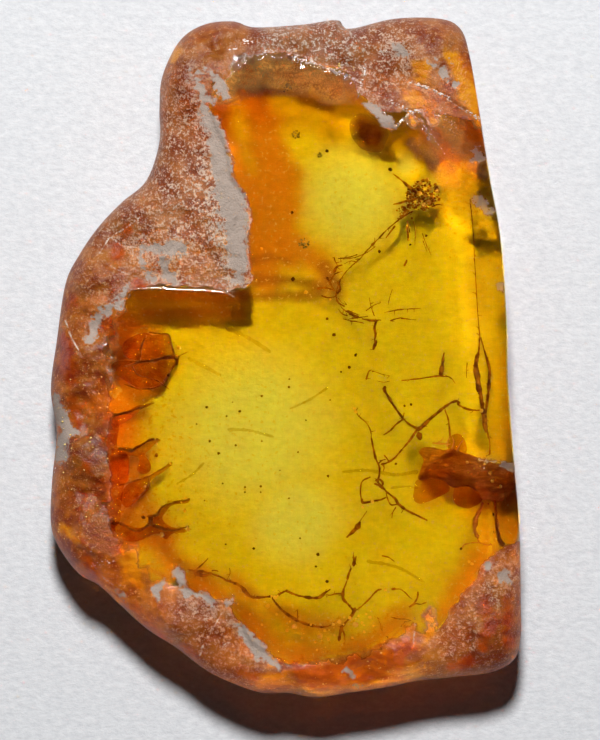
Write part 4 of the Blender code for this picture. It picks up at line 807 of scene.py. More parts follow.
def blend(points, rows):
    """Each row's values, blended by how near the row's place is to each point."""
    table = numpy.array(rows, dtype=float)
    away = ((points[:, None, :] - table[None, :, :2])**2).sum(axis=2)
    weight = 1.0 / (away + 0.2)**2
    return (weight @ table[:, 2:]) / weight.sum(axis=1)[:, None]


def smooth(value):
    """A share from 0 to 1, eased at both ends."""
    share = numpy.clip(value, 0.0, 1.0)
    return share * share * (3.0 - 2.0 * share)


def fitted_outline(step):
    """The stone's edge at the driving width and length, with its middle at the origin."""
    loop = closed_curve(OUTLINE, 0.25)
    low, high = loop.min(axis=0), loop.max(axis=0)
    size = numpy.array([WIDTH, LENGTH])
    return closed_curve((loop - (low + high) / 2.0) * size / (high - low), step)


# The stone's edge and the edge of its window, from which distances are measured.
STONE = fitted_outline(0.4)
CLEAR = closed_curve(WINDOW, 0.3)


def fractal(points, size, octaves, seed):
    """Smooth lumpy noise between about -1 and 1 at each point."""
    return numpy.array([noise.fractal(Vector((x / size, y / size, seed)), 1.0, 2.0, octaves)
                        for x, y in points])


def near(points, x, y, radius):
    """A share that is 1 at a place and falls off smoothly over a radius."""
    return numpy.exp(-(((points - (x, y))**2).sum(axis=1) / radius**2))


def crust_relief(points):
    """Height of the crust's own lumps and grain, above or below its even surface."""
    height = numpy.zeros(len(points))
    for x, y, radius, lump in LUMPS:
        height += lump * near(points, x, y, radius)
    height += GRAIN_HEIGHT * fractal(points, GRAIN_SIZE, 3, 2.7)
    return height + PIT_HEIGHT * fractal(points, PIT_SIZE, 4, 8.1)


def dents(points):
    """Depth of the small smooth dents at each point."""
    depth = numpy.zeros(len(points))
    for x, y, radius, hollow in DENTS:
        depth = numpy.maximum(depth, hollow * near(points, x, y, radius))
    return depth


def round_shoulder(depth, width):
    """Share of the full height that a rounded shoulder reaches at each depth in from the edge."""
    share = numpy.clip(depth / width, 0.0, 1.0)
    return (1.0 - (1.0 - share)**ROUNDNESS)**(1.0 / ROUNDNESS)


def upper_height(points, depth, past_ledge):
    """Height of the upper face at each point."""
    width, facet = blend(points, SHOULDERS)[:, [0, 2]].T
    wall = round_shoulder(depth, WALL_DEPTH)
    cut = FACET_START * wall + (1.0 - FACET_START) * numpy.clip(depth / width, 0.0, 1.0)
    rise = round_shoulder(depth, width) * (1.0 - facet) + cut * facet
    height = EDGE_LEVEL + (THICKNESS - EDGE_LEVEL) * rise
    crust = smooth(past_ledge / LEDGE_RUN)
    from_edge = smooth(depth / EDGE_RUN)
    height -= blend(points, LEDGES)[:, 0] * crust * from_edge
    height += crust_relief(points) * smooth(past_ledge / RELIEF_RUN) * from_edge * (1.0 - facet)
    fray = crust * smooth((FRAY_RUN - past_ledge) / 0.8) * (1.0 - facet)
    height -= FRAY_HEIGHT * fray * (0.5 + fractal(points, 0.6, 4, 4.4))
    height -= dents(points) * from_edge
    return numpy.clip(height, EDGE_LEVEL, THICKNESS)


def lower_height(points, depth):
    """Height of the underside at each point: flat in the middle, with a lumpy round edge."""
    width = blend(points, SHOULDERS)[:, 1]
    height = EDGE_LEVEL * (1.0 - round_shoulder(depth, width))
    shoulder = smooth((width - depth) / 1.5) * smooth(depth / EDGE_RUN)
    height += UNDER_RELIEF * crust_relief(points[:, ::-1]) * shoulder
    return numpy.clip(height, 0.0, EDGE_LEVEL)


def honeycomb(step):
    """Rows of points a step apart over the whole stone, each row shifted by half a step."""
    rows = numpy.arange(-LENGTH / 2.0, LENGTH / 2.0, step * 0.866)
    columns = numpy.arange(-WIDTH / 2.0, WIDTH / 2.0, step)
    across, up = numpy.meshgrid(columns, rows)
    across = across + step / 2.0 * (numpy.arange(len(rows)) % 2)[:, None]
    return numpy.stack([across.ravel(), up.ravel()], axis=1)


def triangulate(loops, loose):
    """Triangles within the first loop that keep every loop's lines and use the loose points."""
    points = numpy.vstack(list(loops) + [loose])
    edges = []
    start = 0
    for loop in loops:
        count = len(loop)
        edges += [(start + index, start + (index + 1) % count) for index in range(count)]
        start += count
    result = geometry.delaunay_2d_cdt([Vector(point) for point in points], edges, [], 0, 1e-5)
    found = numpy.array([tuple(point) for point in result[0]])
    faces = numpy.array(result[2])
    kept = inside(found[faces].mean(axis=1), loops[0])
    return found, faces[kept]


def broad_face(rim, flat_line, lines, step, flat_step):
    """Points and triangles of a broad face, closer together where it isn't flat."""
    rings = [rim] + [offset(rim, depth) for depth in RING_DEPTHS]
    crust, flat = honeycomb(step), honeycomb(flat_step)
    crust = crust[~inside(crust, flat_line)]
    flat = flat[inside(flat, flat_line)]
    flat = flat[distance(flat, flat_line) > flat_step / 3.0]
    loose = numpy.vstack([crust, flat])
    away = RING_DEPTHS[-1] + step * 0.45
    loose = loose[inside(loose, STONE)]
    loose = loose[distance(loose, STONE) > away]
    for line in lines:
        loose = loose[distance(loose, line) > step * 0.4]
    return triangulate(rings + lines, loose)


def within_rim(loop, depth):
    """The loop, moved in where it is nearer to the stone's edge than a depth."""
    moved = loop.copy()
    middle = loop.mean(axis=0)
    for _ in range(40):
        close = distance(moved, STONE) < depth
        moved[close] += (middle - moved[close]) * 0.01
    return moved


def reach(points, strokes):
    """How far each point lies within the nearest stroke (negative outside every stroke)."""
    best = numpy.full(len(points), -numpy.inf)
    for stroke in strokes:
        for start, end in zip(stroke, stroke[1:]):
            (x, y, radius), (x1, y1, radius1) = start, end
            run = numpy.array([x1 - x, y1 - y])
            gap = points - (x, y)
            share = numpy.clip((gap @ run) / (run @ run), 0.0, 1.0)
            away = numpy.linalg.norm(gap - share[:, None] * run, axis=1)
            best = numpy.maximum(best, radius + (radius1 - radius) * share - away)
    return best


def even(strokes, radius):
    """Strokes of x, y, given one radius throughout."""
    return [[(x, y, radius) for x, y in stroke] for stroke in strokes]


def signed(points, loop):
    """Distance to a closed loop, negative within it."""
    return numpy.where(inside(points, loop), -1.0, 1.0) * distance(points, loop)


def underside_tint(points):
    """Colour of the light that the underside lets through at each point, with painted glow and shade."""
    drift = 0.5 * fractal(points, 1.6, 4, 3.3)
    # Orange stains, and painted shade below the ledge and the top edge.
    orange = smooth((reach(points, ORANGE_STAINS_AND_SHADE) + 0.8 + drift) / 1.4)[:, None]
    # Brown stains, and painted shadow below the crust's edges.
    stain_and_shade = 0.85 * smooth((reach(points, STAINS_AND_SHADE) + 0.25 + 0.4 * drift) / 0.5)[:, None]
    # Painted glow: a paler tint round the listed places, standing in for light pooling in the amber.
    glow = numpy.zeros(len(points))
    for x, y, radius in GLOWS:
        glow = numpy.maximum(glow, near(points, x, y, radius))
    glow = smooth(glow * 1.25 + 0.1 * drift)[:, None]
    golden = smooth((reach(points, GOLDEN) + 0.5 + 0.6 * drift) / 1.0)[:, None]
    tint = numpy.array(YELLOW) * (1.0 - glow) + numpy.array(PAINTED_GLOW_WHITE) * glow
    tint = tint * (1.0 - golden) + numpy.array(STAIN_GOLD) * golden
    tint = tint * (1.0 - orange) + numpy.array(ORANGE_STAIN_AND_SHADE) * orange
    return tint * (1.0 - stain_and_shade) + numpy.array(STAIN_AND_SHADE_BROWN) * stain_and_shade


def set_values(mesh, name, values):
    """Keep a value for each point of the mesh under a name."""
    mesh.attributes.new(name, "FLOAT", "POINT").data.foreach_set("value", values)


def amber():
    """The whole stone as one clear piece, with what lies on its surface kept at each point."""
    rim = fitted_outline(LINE_STEP)
    ledge = within_rim(closed_curve(WINDOW, LINE_STEP), RIM_GAP)
    foot = within_rim(offset(ledge, -LEDGE_RUN), FOOT_GAP)
    top, top_faces = broad_face(rim, offset(ledge, 0.4), [ledge, foot], CRUST_STEP, FLAT_STEP)
    widest = max(row[3] for row in SHOULDERS)
    under, under_faces = broad_face(rim, offset(rim, widest), [], CRUST_STEP * 1.8, UNDER_STEP)
    past = signed(top, CLEAR)
    fray = fractal(top, 0.9, 4, 5.1)
    pale = reach(top, PALE) + (0.2 + 0.5 * smooth(past / 1.2)) * fray
    crack = reach(top, even(CRACKS, CRACK_RADIUS))
    heights = upper_height(top, distance(top, STONE), numpy.maximum(past, 0.0))
    sunk = CRACK_DEPTH * smooth((crack + 0.16) / 0.16) + PALE_DEPTH * smooth((pale + 0.1) / 0.25)
    heights = numpy.clip(heights - smooth(past / 0.4) * sunk, EDGE_LEVEL, THICKNESS)
    heights[distance(top, rim) < 1e-3] = EDGE_LEVEL
    lows = lower_height(under, distance(under, STONE))
    lows[distance(under, rim) < 1e-3] = EDGE_LEVEL
    points = numpy.vstack([numpy.column_stack([top, heights]), numpy.column_stack([under, lows])])
    faces = numpy.vstack([top_faces, under_faces[:, ::-1] + len(top)])
    mesh = bpy.data.meshes.new("amber_clear")
    mesh.from_pydata((points * MM).tolist(), [], faces.tolist())
    keep_marks(mesh, top, under, past, pale, crack, fray)
    turn_outward(mesh, joined=True)
    return placed("amber_clear", mesh)


def cut_free(points):
    """How far the crust draws back from the cut side at each point."""
    facet = blend(points, SHOULDERS)[:, 2]
    return CUT_BACK * numpy.clip(facet - 0.3, 0.0, 1.0) * smooth((CUT_TOP - points[:, 1]) / 2.0)


def keep_marks(mesh, top, under, past, pale, crack, fray):
    """Keep what lies on each point of the stone.

    crust, pale, crack, spot and gold_and_glow say where crust, scabs, cracks, red and golden places
    are, the golden ones at the top corners painted glow; edge is the rim of the window at the top,
    film_and_shade the brown films, which along the top edge paint shade, sheer the cut side; mottle,
    clear, red and haze are the kind of crust; tint is the colour of the underside, with painted glow
    and shade in it.
    """
    kinds_top, kinds_under = blend(top, CRUST_KINDS), numpy.tile(UNDER_KIND, (len(under), 1))
    soft = 1.0 - kinds_top[:, 2]
    cut_top, cut_under = cut_free(top), cut_free(under)
    crust_top = smooth((past - cut_top + (0.15 + 0.6 * soft) * fray) / (0.1 + 0.7 * soft))
    away = signed(under, closed_curve(UNDER_WINDOW, 0.4)) - cut_under
    crust_under = smooth((away + 0.7 * fractal(under, 1.2, 4, 6.6)) / 0.8)
    spot = reach(top, RED_SPOTS) + 0.45 * fray
    # Golden places; at the top corners they paint glow.
    gold_and_glow = reach(top, GOLDEN_SPOTS_AND_GLOW) + 0.35 * fray
    edge = smooth(1.0 - numpy.abs(past - 0.1) / 0.6) * smooth((top[:, 1] - EDGE_BOTTOM) / 2.0)
    # Brown films; along the top edge they paint the shade that the crust casts.
    film_and_shade = numpy.zeros(len(top))
    for depth, stroke in FILM_AND_SHADE:
        film_and_shade = numpy.maximum(film_and_shade, depth * smooth((reach(top, [stroke]) + 0.5 + 0.9 * fray) / 1.3))
    sheer = smooth(cut_top / 3.0)
    set_values(mesh, "crust", numpy.concatenate([crust_top, crust_under]))
    for name, values, rest in (("pale", pale, FAR), ("crack", crack, FAR), ("spot", spot, FAR),
                               ("gold_and_glow", gold_and_glow, FAR), ("edge", edge, 0.0), ("film_and_shade", film_and_shade, 0.0),
                               ("sheer", sheer, 0.0)):
        set_values(mesh, name, numpy.concatenate([values, numpy.full(len(under), rest)]))
    mottle = numpy.concatenate([fractal(top, 1.5, 5, 1.9), fractal(under, 1.5, 4, 1.9)])
    set_values(mesh, "mottle", numpy.clip(0.5 + 1.1 * mottle, 0.0, 1.0))
    kinds = numpy.vstack([kinds_top, kinds_under])
    for name, values in zip(("clear", "red", "haze"), kinds.T):
        set_values(mesh, name, values)
    tint = numpy.vstack([numpy.ones((len(top), 3)), underside_tint(under)])
    marks = mesh.attributes.new("tint", "FLOAT_COLOR", "POINT")
    marks.data.foreach_set("color", numpy.column_stack([tint, numpy.ones(len(tint))]).ravel())


def turn_outward(mesh, joined=False):
    """Turn the mesh's faces outwards, once points that coincide are joined if that is asked."""
    shape = bmesh.new()
    shape.from_mesh(mesh)
    if joined:
        bmesh.ops.remove_doubles(shape, verts=shape.verts, dist=1e-7)
    bmesh.ops.recalc_face_normals(shape, faces=shape.faces)
    shape.to_mesh(mesh)
    shape.free()


def placed(name, mesh):
    """An object of the mesh, smoothly shaded, in the scene."""
    mesh.shade_smooth()
    thing = bpy.data.objects.new(name, mesh)
    bpy.context.scene.collection.objects.link(thing)
    return thing


class Look:
    """A material and short ways to add nodes to it."""

    def __init__(self, name):
        self.material = bpy.data.materials.new(name)
        self.material.use_nodes = True
        self.nodes = self.material.node_tree.nodes
        self.links = self.material.node_tree.links
        self.shader = self.nodes["Principled BSDF"]
        self.place = self.nodes.new("ShaderNodeTexCoord").outputs["Object"]

    def feed(self, socket, value):
        """Link a socket to an output, or set it to a plain value."""
        if isinstance(value, bpy.types.NodeSocket):
            self.links.new(value, socket)
        elif socket.type == "RGBA" and len(value) == 3:
            socket.default_value = (*value, 1.0)
        else:
            socket.default_value = value

    def set(self, **values):
        """Feed the shader's sockets, named with _ for spaces."""
        for name, value in values.items():
            self.feed(self.shader.inputs[name.replace("_", " ")], value)

    def kept(self, name, output="Fac"):
        """A value or colour kept on the mesh."""
        node = self.nodes.new("ShaderNodeAttribute")
        node.attribute_name = name
        return node.outputs[output]

    def noise(self, size, detail=2.0, rough=0.5, stretch=(1.0, 1.0, 1.0)):
        """Noise with grains of about a size in millimetres, stretched along an axis."""
        mapping = self.nodes.new("ShaderNodeMapping")
        self.feed(mapping.inputs["Vector"], self.place)
        mapping.inputs["Scale"].default_value = [1.0 / (size * MM * share) for share in stretch]
        node = self.nodes.new("ShaderNodeTexNoise")
        node.inputs["Scale"].default_value = 1.0
        node.inputs["Detail"].default_value = detail
        node.inputs["Roughness"].default_value = rough
        self.feed(node.inputs["Vector"], mapping.outputs["Vector"])
        return node.outputs["Fac"]

    def sum(self, kind, first, second):
        """Two values brought together by a kind of sum."""
        node = self.nodes.new("ShaderNodeMath")
        node.operation = kind
        self.feed(node.inputs[0], first)
        self.feed(node.inputs[1], second)
        return node.outputs["Value"]

    def step(self, value, low, high, start=0.0, end=1.0):
        """A value's way from low to high as a value from start to end."""
        node = self.nodes.new("ShaderNodeMapRange")
        for name, given in zip(("Value", "From Min", "From Max", "To Min", "To Max"),
                               (value, low, high, start, end)):
            self.feed(node.inputs[name], given)
        return node.outputs["Result"]

    def past(self, name, grain, amount, low, high):
        """Whether a kept value lies past an edge that a grain makes ragged."""
        moved = self.sum("ADD", self.kept(name), self.sum("MULTIPLY", grain, amount))
        return self.step(moved, low, high)

    def mix(self, share, first, second):
        """Two colours mixed."""
        node = self.nodes.new("ShaderNodeMix")
        node.data_type = "RGBA"
        for name, kind, given in (("Factor", "VALUE", share), ("A", "RGBA", first), ("B", "RGBA", second)):
            self.feed(next(item for item in node.inputs if (item.name, item.type) == (name, kind)), given)
        return next(item for item in node.outputs if item.type == "RGBA")

    def between(self, share, first, second):
        """A value that goes from the first to the second by a share."""
        return self.step(share, 0.0, 1.0, first, second)

    def bump(self, height, depth):
        """Feed the shader's normal from a height, for a depth in millimetres."""
        node = self.nodes.new("ShaderNodeBump")
        node.inputs["Distance"].default_value = depth * MM
        self.feed(node.inputs["Height"], height)
        self.feed(self.shader.inputs["Normal"], node.outputs["Normal"])


class AmberLook(Look):
    """Clear amber that is hazy, brown and rough where it has its crust.

    Its values are shares from 0 to 1 that say where on the stone something is.
    """

    def __init__(self):
        super().__init__("amber")
        self.fine = self.sum("SUBTRACT", self.noise(0.3, 3.0, 0.65), 0.5)
        self.speck = self.noise(0.13, 2.0, 0.7)
        self.clear, self.red = self.kept("clear"), self.kept("red")
        self.haze, self.mottle = self.kept("haze"), self.kept("mottle")
        streak = self.noise(0.45, 4.0, 0.6, (2.4, 1.0, 1.0))
        self.shade = self.step(self.sum("ADD", streak, self.sum("MULTIPLY", self.mottle, 0.25)),
                               0.45, 0.8)
        self.spots = self.past("spot", self.fine, 0.8, -0.2, 0.3)
        # Golden places, which at the top corners paint glow.
        self.golden = self.past("gold_and_glow", self.fine, 0.6, -0.2, 0.25)
        self.scabs = self.past("pale", self.fine, 1.0, -0.08, 0.1)
        self.cracks = self.past("crack", self.fine, 0.2, -0.04, 0.03)
        self.solid = self.sum("MAXIMUM", self.scabs, self.cracks)
        self.covered = self.sum("MAXIMUM", self.sum("MAXIMUM", self.crust(), self.golden), self.solid)
        self.grain = self.pale_grain()
        # Brown films, which along the top edge paint the crust's shade.
        self.film_and_shade = self.sum("MULTIPLY", self.kept("film_and_shade"), self.step(self.speck, 0.35, 0.65, 0.4, 1.5))

    def crust(self):
        """Crust, with a sharp edge where it is hazy and a soft one where it isn't."""
        ragged = self.sum("ADD", self.kept("crust"), self.sum("MULTIPLY", self.fine, 0.8))
        return self.step(ragged, self.between(self.haze, 0.05, 0.35), self.between(self.haze, 1.0, 0.6))

    def pale_grain(self):
        """Pale grain of the hazy crust, denser round the scabs."""
        halo = self.step(self.kept("pale"), -1.1, 0.1, 0.0, 0.14)
        dusted = self.sum("ADD", self.sum("ADD", self.speck, self.fine), halo)
        return self.sum("MULTIPLY", self.step(dusted, 0.52, 0.65), self.haze)

    def rind(self):
        """Colour of the crust, with its worn places, scabs and cracks over it."""
        thin = self.step(self.clear, 0.46, 0.72)
        dull = self.mix(self.mottle, self.mix(thin, (0.28, 0.045, 0.006), (0.48, 0.10, 0.014)),
                        self.mix(thin, (0.55, 0.18, 0.05), (0.88, 0.37, 0.11)))
        dull = self.mix(self.grain, dull, self.mix(thin, (0.84, 0.62, 0.47), (1.0, 0.90, 0.76)))
        warm = self.mix(self.shade, (0.36, 0.042, 0.001), (0.84, 0.26, 0.005))
        # Painted glints: bright golden speckles over the warm crust.
        glitter = self.step(self.sum("ADD", self.speck, self.fine), 0.62, 0.72)
        warm = self.mix(glitter, warm, (1.0, 0.50, 0.14))
        colour = self.mix(self.red, dull, warm)
        for share, over in (
            (self.spots, self.mix(self.shade, (0.44, 0.040, 0.002), (0.76, 0.13, 0.005))),
            # Bright golden colour, which at the top corners is painted glow.
            (self.golden, self.mix(self.shade, (0.72, 0.17, 0.003), (1.0, 0.40, 0.010))),
            (self.scabs, self.mix(self.speck, (0.40, 0.30, 0.24), (0.52, 0.43, 0.37))),
            (self.cracks, (0.80, 0.70, 0.58)),
        ):
            colour = self.mix(share, colour, over)
        return colour

    def bare(self):
        """Colour without crust: tint, brown films that paint shade at the top edge, and a fringe round
        both.
        """
        fringe = (0.97, 0.66, 0.20)
        brown = self.mix(self.shade, (0.42, 0.12, 0.02), (0.84, 0.38, 0.08))
        colour = self.mix(self.step(self.film_and_shade, 0.0, 0.03), self.kept("tint", "Color"), fringe)
        colour = self.mix(self.step(self.film_and_shade, 0.03, 0.35), colour, brown)
        return self.mix(self.step(self.covered, 0.0, 0.04), colour, fringe)

    def clearness(self):
        """How much light goes through, least of all through scabs and cracks."""
        through = self.sum("MULTIPLY", self.clear, self.between(self.grain, 1.0, 0.6))
        through = self.between(self.golden, self.between(self.spots, through, 0.55), 0.3)
        shut = self.between(self.kept("sheer"), 0.06, 0.8)
        return self.step(self.covered, 0.0, 1.0, self.between(self.film_and_shade, 1.0, 0.0),
                         self.between(self.solid, through, shut))

    def roughness(self):
        """Polished faces, worn places, crust, and rough scabs and cracks."""
        worn = self.sum("MAXIMUM", self.spots, self.golden)
        rough = self.between(worn, self.between(self.haze, 0.46, 0.4), 0.32)
        return self.between(self.covered, 0.03, self.between(self.solid, rough, 0.7))

    def relief(self):
        """Height of the crust's fine lumps and of the scratches in the polished faces."""
        scratches = self.sum("MULTIPLY", self.noise(0.12, 1.0, 0.5, (14.0, 1.0, 1.0)), 0.012)
        lumps = self.sum("ADD", self.fine, self.sum("MULTIPLY", self.speck, 0.5))
        lumps = self.sum("MULTIPLY", lumps, self.between(self.haze, 0.4, 1.0))
        lumps = self.sum("MULTIPLY", lumps, self.sum("MAXIMUM", self.covered, self.kept("edge")))
        return self.sum("ADD", lumps, scratches)

    def fill(self):
        """Let the amber take up blue light on the light's way through."""
        soak = self.nodes.new("ShaderNodeVolumeAbsorption")
        soak.inputs["Color"].default_value = AMBER_COLOUR
        soak.inputs["Density"].default_value = AMBER_DENSITY
        self.links.new(soak.outputs["Volume"], self.nodes["Material Output"].inputs["Volume"])


def amber_look():
    """The amber of the whole stone."""
    look = AmberLook()
    colour = look.mix(look.step(look.covered, 0.04, 0.55), look.bare(), look.rind())
    look.set(Base_Color=colour, Transmission_Weight=look.clearness(), Roughness=look.roughness(),
             IOR=AMBER_IOR, Specular_IOR_Level=0.07)
    look.bump(look.relief(), 0.12)
    look.fill()
    return look.material


def thread_look():
    """Brown silk with darker and lighter lengths."""
    look = Look("web")
    shade = look.step(look.noise(0.5, 4.0, 0.6), 0.38, 0.62)
    look.set(Base_Color=look.mix(shade, (0.16, 0.035, 0.004), (0.52, 0.20, 0.02)), Roughness=0.6)
    look.bump(look.noise(0.08, 3.0), 0.03)
    return look.material


def bark_look():
    """Dark red-brown bark in fine streaks along its length, thinner and lighter to the left."""
    look = Look("bark")
    across = look.nodes.new("ShaderNodeSeparateXYZ")
    look.feed(across.inputs["Vector"], look.place)
    streak = look.step(look.noise(0.35, 5.0, 0.65, (3.0, 1.0, 1.0)), 0.36, 0.64)
    right = look.step(across.outputs["X"], 0.0092, 0.0128)
    dark = look.mix(right, (0.48, 0.13, 0.02), (0.42, 0.12, 0.07))
    light = look.mix(right, (0.74, 0.31, 0.05), (0.64, 0.23, 0.11))
    look.set(Base_Color=look.mix(streak, dark, light), Roughness=look.between(streak, 0.3, 0.55),
             Transmission_Weight=look.between(right, 0.85, 0.62), IOR=1.03)
    look.bump(look.noise(0.16, 4.0, 0.6, (3.0, 1.0, 1.0)), 0.08)
    return look.material


def veil_look(name, line, dark, light, clear, fade=0.12):
    """A thin brown veil that lets light through, in patches, with another colour along its rim."""
    look = Look(name)
    fine = look.sum("SUBTRACT", look.noise(0.4, 4.0, 0.6, (2.0, 1.0, 1.0)), 0.5)
    within = look.past("rim", fine, 0.4, 0.0, fade)
    patch = look.step(look.noise(0.9, 5.0, 0.65), 0.4, 0.6)
    look.set(Base_Color=look.mix(within, line, look.mix(patch, dark, light)))
    look.set(Transmission_Weight=clear, Roughness=0.1, IOR=1.02)
    look.bump(fine, 0.03)
    return look.material


def vein_look():
    """Red-brown ribs that stiffen the veils, partly see-through."""
    look = Look("vein")
    fine = look.step(look.noise(0.35, 4.0, 0.6), 0.35, 0.65)
    look.set(Base_Color=look.mix(fine, (0.08, 0.015, 0.001), (0.26, 0.07, 0.006)),
             Transmission_Weight=0.93, Roughness=0.35, IOR=1.04)
    look.bump(fine, 0.04)
    return look.material


def speck_look(name, dark, light):
    """Grains of dust."""
    look = Look(name)
    look.set(Base_Color=look.mix(look.step(look.noise(0.3, 3.0), 0.4, 0.6), dark, light), Roughness=0.7)
    look.bump(look.noise(0.1, 3.0), 0.04)
    return look.material


def painted_glint_look():
    """Small gas bubbles and glints, coloured bright golden as painted highlights."""
    look = Look("painted_glint")
    look.set(Base_Color=look.mix(look.noise(0.3), (1.0, 0.60, 0.10), (1.0, 0.86, 0.34)),
             Metallic=0.4, Roughness=0.3)
    look.bump(look.noise(0.1), 0.01)
    return look.material


def paper_look():
    """Pale paper with fine fibres."""
    look = Look("paper")
    fibre = look.noise(0.4, 5.0, 0.75, (1.6, 1.0, 1.0))
    look.set(Base_Color=look.mix(look.step(fibre, 0.3, 0.7), (0.70, 0.715, 0.745), (0.88, 0.89, 0.91)),
             Roughness=0.9)
    look.bump(fibre, 0.07)
    return look.material


def open_curve(points, step):
    """Points about one step apart along a smooth curve through the given points."""
    rows = numpy.array(points, dtype=float)
    rows = numpy.vstack([2.0 * rows[0] - rows[1], rows, 2.0 * rows[-1] - rows[-2]])
    share = numpy.linspace(0.0, 1.0, 8, endpoint=False)[:, None]
    fine = [bend(*four, share) for four in zip(rows, rows[1:], rows[2:], rows[3:])]
    fine = numpy.vstack(fine + [rows[-2:-1]])
    along = numpy.concatenate([[0.0], numpy.cumsum(numpy.linalg.norm(numpy.diff(fine, axis=0), axis=1))])
    places = numpy.linspace(0.0, along[-1], max(3, round(along[-1] / step) + 1))
    return numpy.stack([numpy.interp(places, along, column) for column in fine.T], axis=1)


class Heap:
    """Points and faces of several shapes that make one mesh."""

    def __init__(self, name):
        self.name = name
        self.points = []
        self.faces = []
        self.rims = []

    def add(self, points, faces, rims=None):
        """Add one shape."""
        start = len(self.points)
        self.points += [tuple(point) for point in points]
        self.faces += [[start + index for index in face] for face in faces]
        self.rims += list(rims) if rims is not None else [1.0] * len(points)

    def made(self, material):
        """The object of everything added."""
        mesh = bpy.data.meshes.new(self.name)
        mesh.from_pydata([Vector(point) * MM for point in self.points], [], self.faces)
        set_values(mesh, "rim", self.rims)
        mesh.materials.append(material)
        turn_outward(mesh)
        return placed(self.name, mesh)


def tube(spine, radii):
    """Points and faces of a closed tube with a radius at each point of its spine."""
    ahead = numpy.gradient(spine, axis=0)
    ahead /= numpy.linalg.norm(ahead, axis=1)[:, None]
    side = numpy.cross(ahead, (0.0, 0.0, 1.0))
    side /= numpy.linalg.norm(side, axis=1)[:, None]
    up = numpy.cross(side, ahead)
    rings = []
    for index in range(TUBE_SIDES):
        angle = 2.0 * math.pi * index / TUBE_SIDES
        rings.append(spine + radii[:, None] * (math.cos(angle) * side + math.sin(angle) * up))
    body = numpy.stack(rings, axis=1).reshape(-1, 3)
    tips = [spine[0] - ahead[0] * radii[0], spine[-1] + ahead[-1] * radii[-1]]
    last = len(body) - TUBE_SIDES
    pairs = [(index, (index + 1) % TUBE_SIDES) for index in range(TUBE_SIDES)]
    faces = [(low + index, low + after, low + TUBE_SIDES + after, low + TUBE_SIDES + index)
             for low in range(0, last, TUBE_SIDES) for index, after in pairs]
    for index, after in pairs:
        faces.append((len(body), after, index))
        faces.append((len(body) + 1, last + index, last + after))
    return numpy.vstack([body, tips]), faces


def add_strand(heap, row, seed):
    """Add a thread of uneven thickness to the heap."""
    radius, end_radius, level, end_level, points = row
    path = open_curve(points, TUBE_STEP)
    share = numpy.linspace(0.0, 1.0, len(path))
    swell = numpy.array([noise.noise(Vector((x * 3.0, y * 3.0, seed))) for x, y in path])
    wave = numpy.array([noise.noise(Vector((x * 1.3, y * 1.3, seed + 9.0))) for x, y in path])
    radii = THREAD_SHARE * (radius + (end_radius - radius) * share) * (1.0 + 0.6 * swell)
    levels = level + (end_level - level) * share + 0.12 * wave
    heap.add(*tube(numpy.column_stack([path, levels]), radii))


def add_barbs(heap, thread, dice):
    """Add short fine hairs along a thread."""
    _, _, level, end_level, points = thread
    path = open_curve(points, BARB_GAP)
    for share, place in zip(numpy.linspace(0.0, 1.0, len(path)), path):
        if dice.random() > BARB_SHARE:
            continue
        angle = dice.uniform(0.0, 2.0 * math.pi)
        length = dice.uniform(*BARB_LENGTHS)
        tip = place + length * numpy.array([math.cos(angle), math.sin(angle)])
        height = level + (end_level - level) * share
        row = (*BARB_RADII, height, height + dice.uniform(-0.1, 0.1), (place, tip))
        add_strand(heap, row, BARB_SEED)


def add_strands(heap, rows):
    """Add a thread for each row, each with its own unevenness."""
    for index, row in enumerate(rows):
        add_strand(heap, row, float(index))


def web(name, rows, material, dice):
    """Every thread of one part of the web as one mesh."""
    heap = Heap(name)
    for index, row in enumerate(rows):
        add_strand(heap, row, float(index))
        add_barbs(heap, row, dice)
    return heap.made(material)


def add_plate(heap, outline, level, thickness, ribs, step=PLATE_STEP):
    """Add a thin lens-shaped flake with a smooth outline to the heap."""
    loop = closed_curve(outline, step)
    loose = honeycomb(step)
    loose = loose[inside(loose, loop)]
    loose = loose[distance(loose, loop) > step * 0.5]
    flat, faces = triangulate([loop], loose)
    depth = distance(flat, loop)
    rise = 0.15 + 0.85 * smooth(depth / 0.7)
    wave = numpy.array([noise.noise(Vector((x * 0.9, y * 2.6, level))) for x, y in flat])
    half = thickness / 2.0 * rise * (1.0 + ribs * wave)
    lift = level + 0.25 * numpy.array([noise.noise(Vector((x * 0.5, y * 0.5, 7.0))) for x, y in flat])
    count = len(flat)
    points = numpy.vstack([numpy.column_stack([flat, lift + half]),
                           numpy.column_stack([flat, lift - half])])
    triangles = [list(face) for face in faces] + [[count + index for index in face[::-1]] for face in faces]
    edge = sorted(numpy.flatnonzero(depth < 1e-4),
                  key=lambda index: int(numpy.argmin(((loop - flat[index])**2).sum(axis=1))))
    for index, after in zip(edge, edge[1:] + edge[:1]):
        triangles.append([index, after, count + after, count + index])
    heap.add(points, triangles, numpy.concatenate([depth, depth]))


def add_grain(heap, place, sizes, dice, rounds=1):
    """Add an uneven grain to the heap."""
    shape = bmesh.new()
    bmesh.ops.create_icosphere(shape, subdivisions=rounds, radius=1.0)
    shift = Vector((dice.uniform(0, 50), dice.uniform(0, 50), dice.uniform(0, 50)))
    points = []
    for corner in shape.verts:
        swell = 1.0 + 0.45 * noise.noise(corner.co * 1.7 + shift)
        points.append([middle + size * value * swell
                       for middle, size, value in zip(place, sizes, corner.co)])
    faces = [[corner.index for corner in face.verts] for face in shape.faces]
    shape.free()
    heap.add(points, faces)


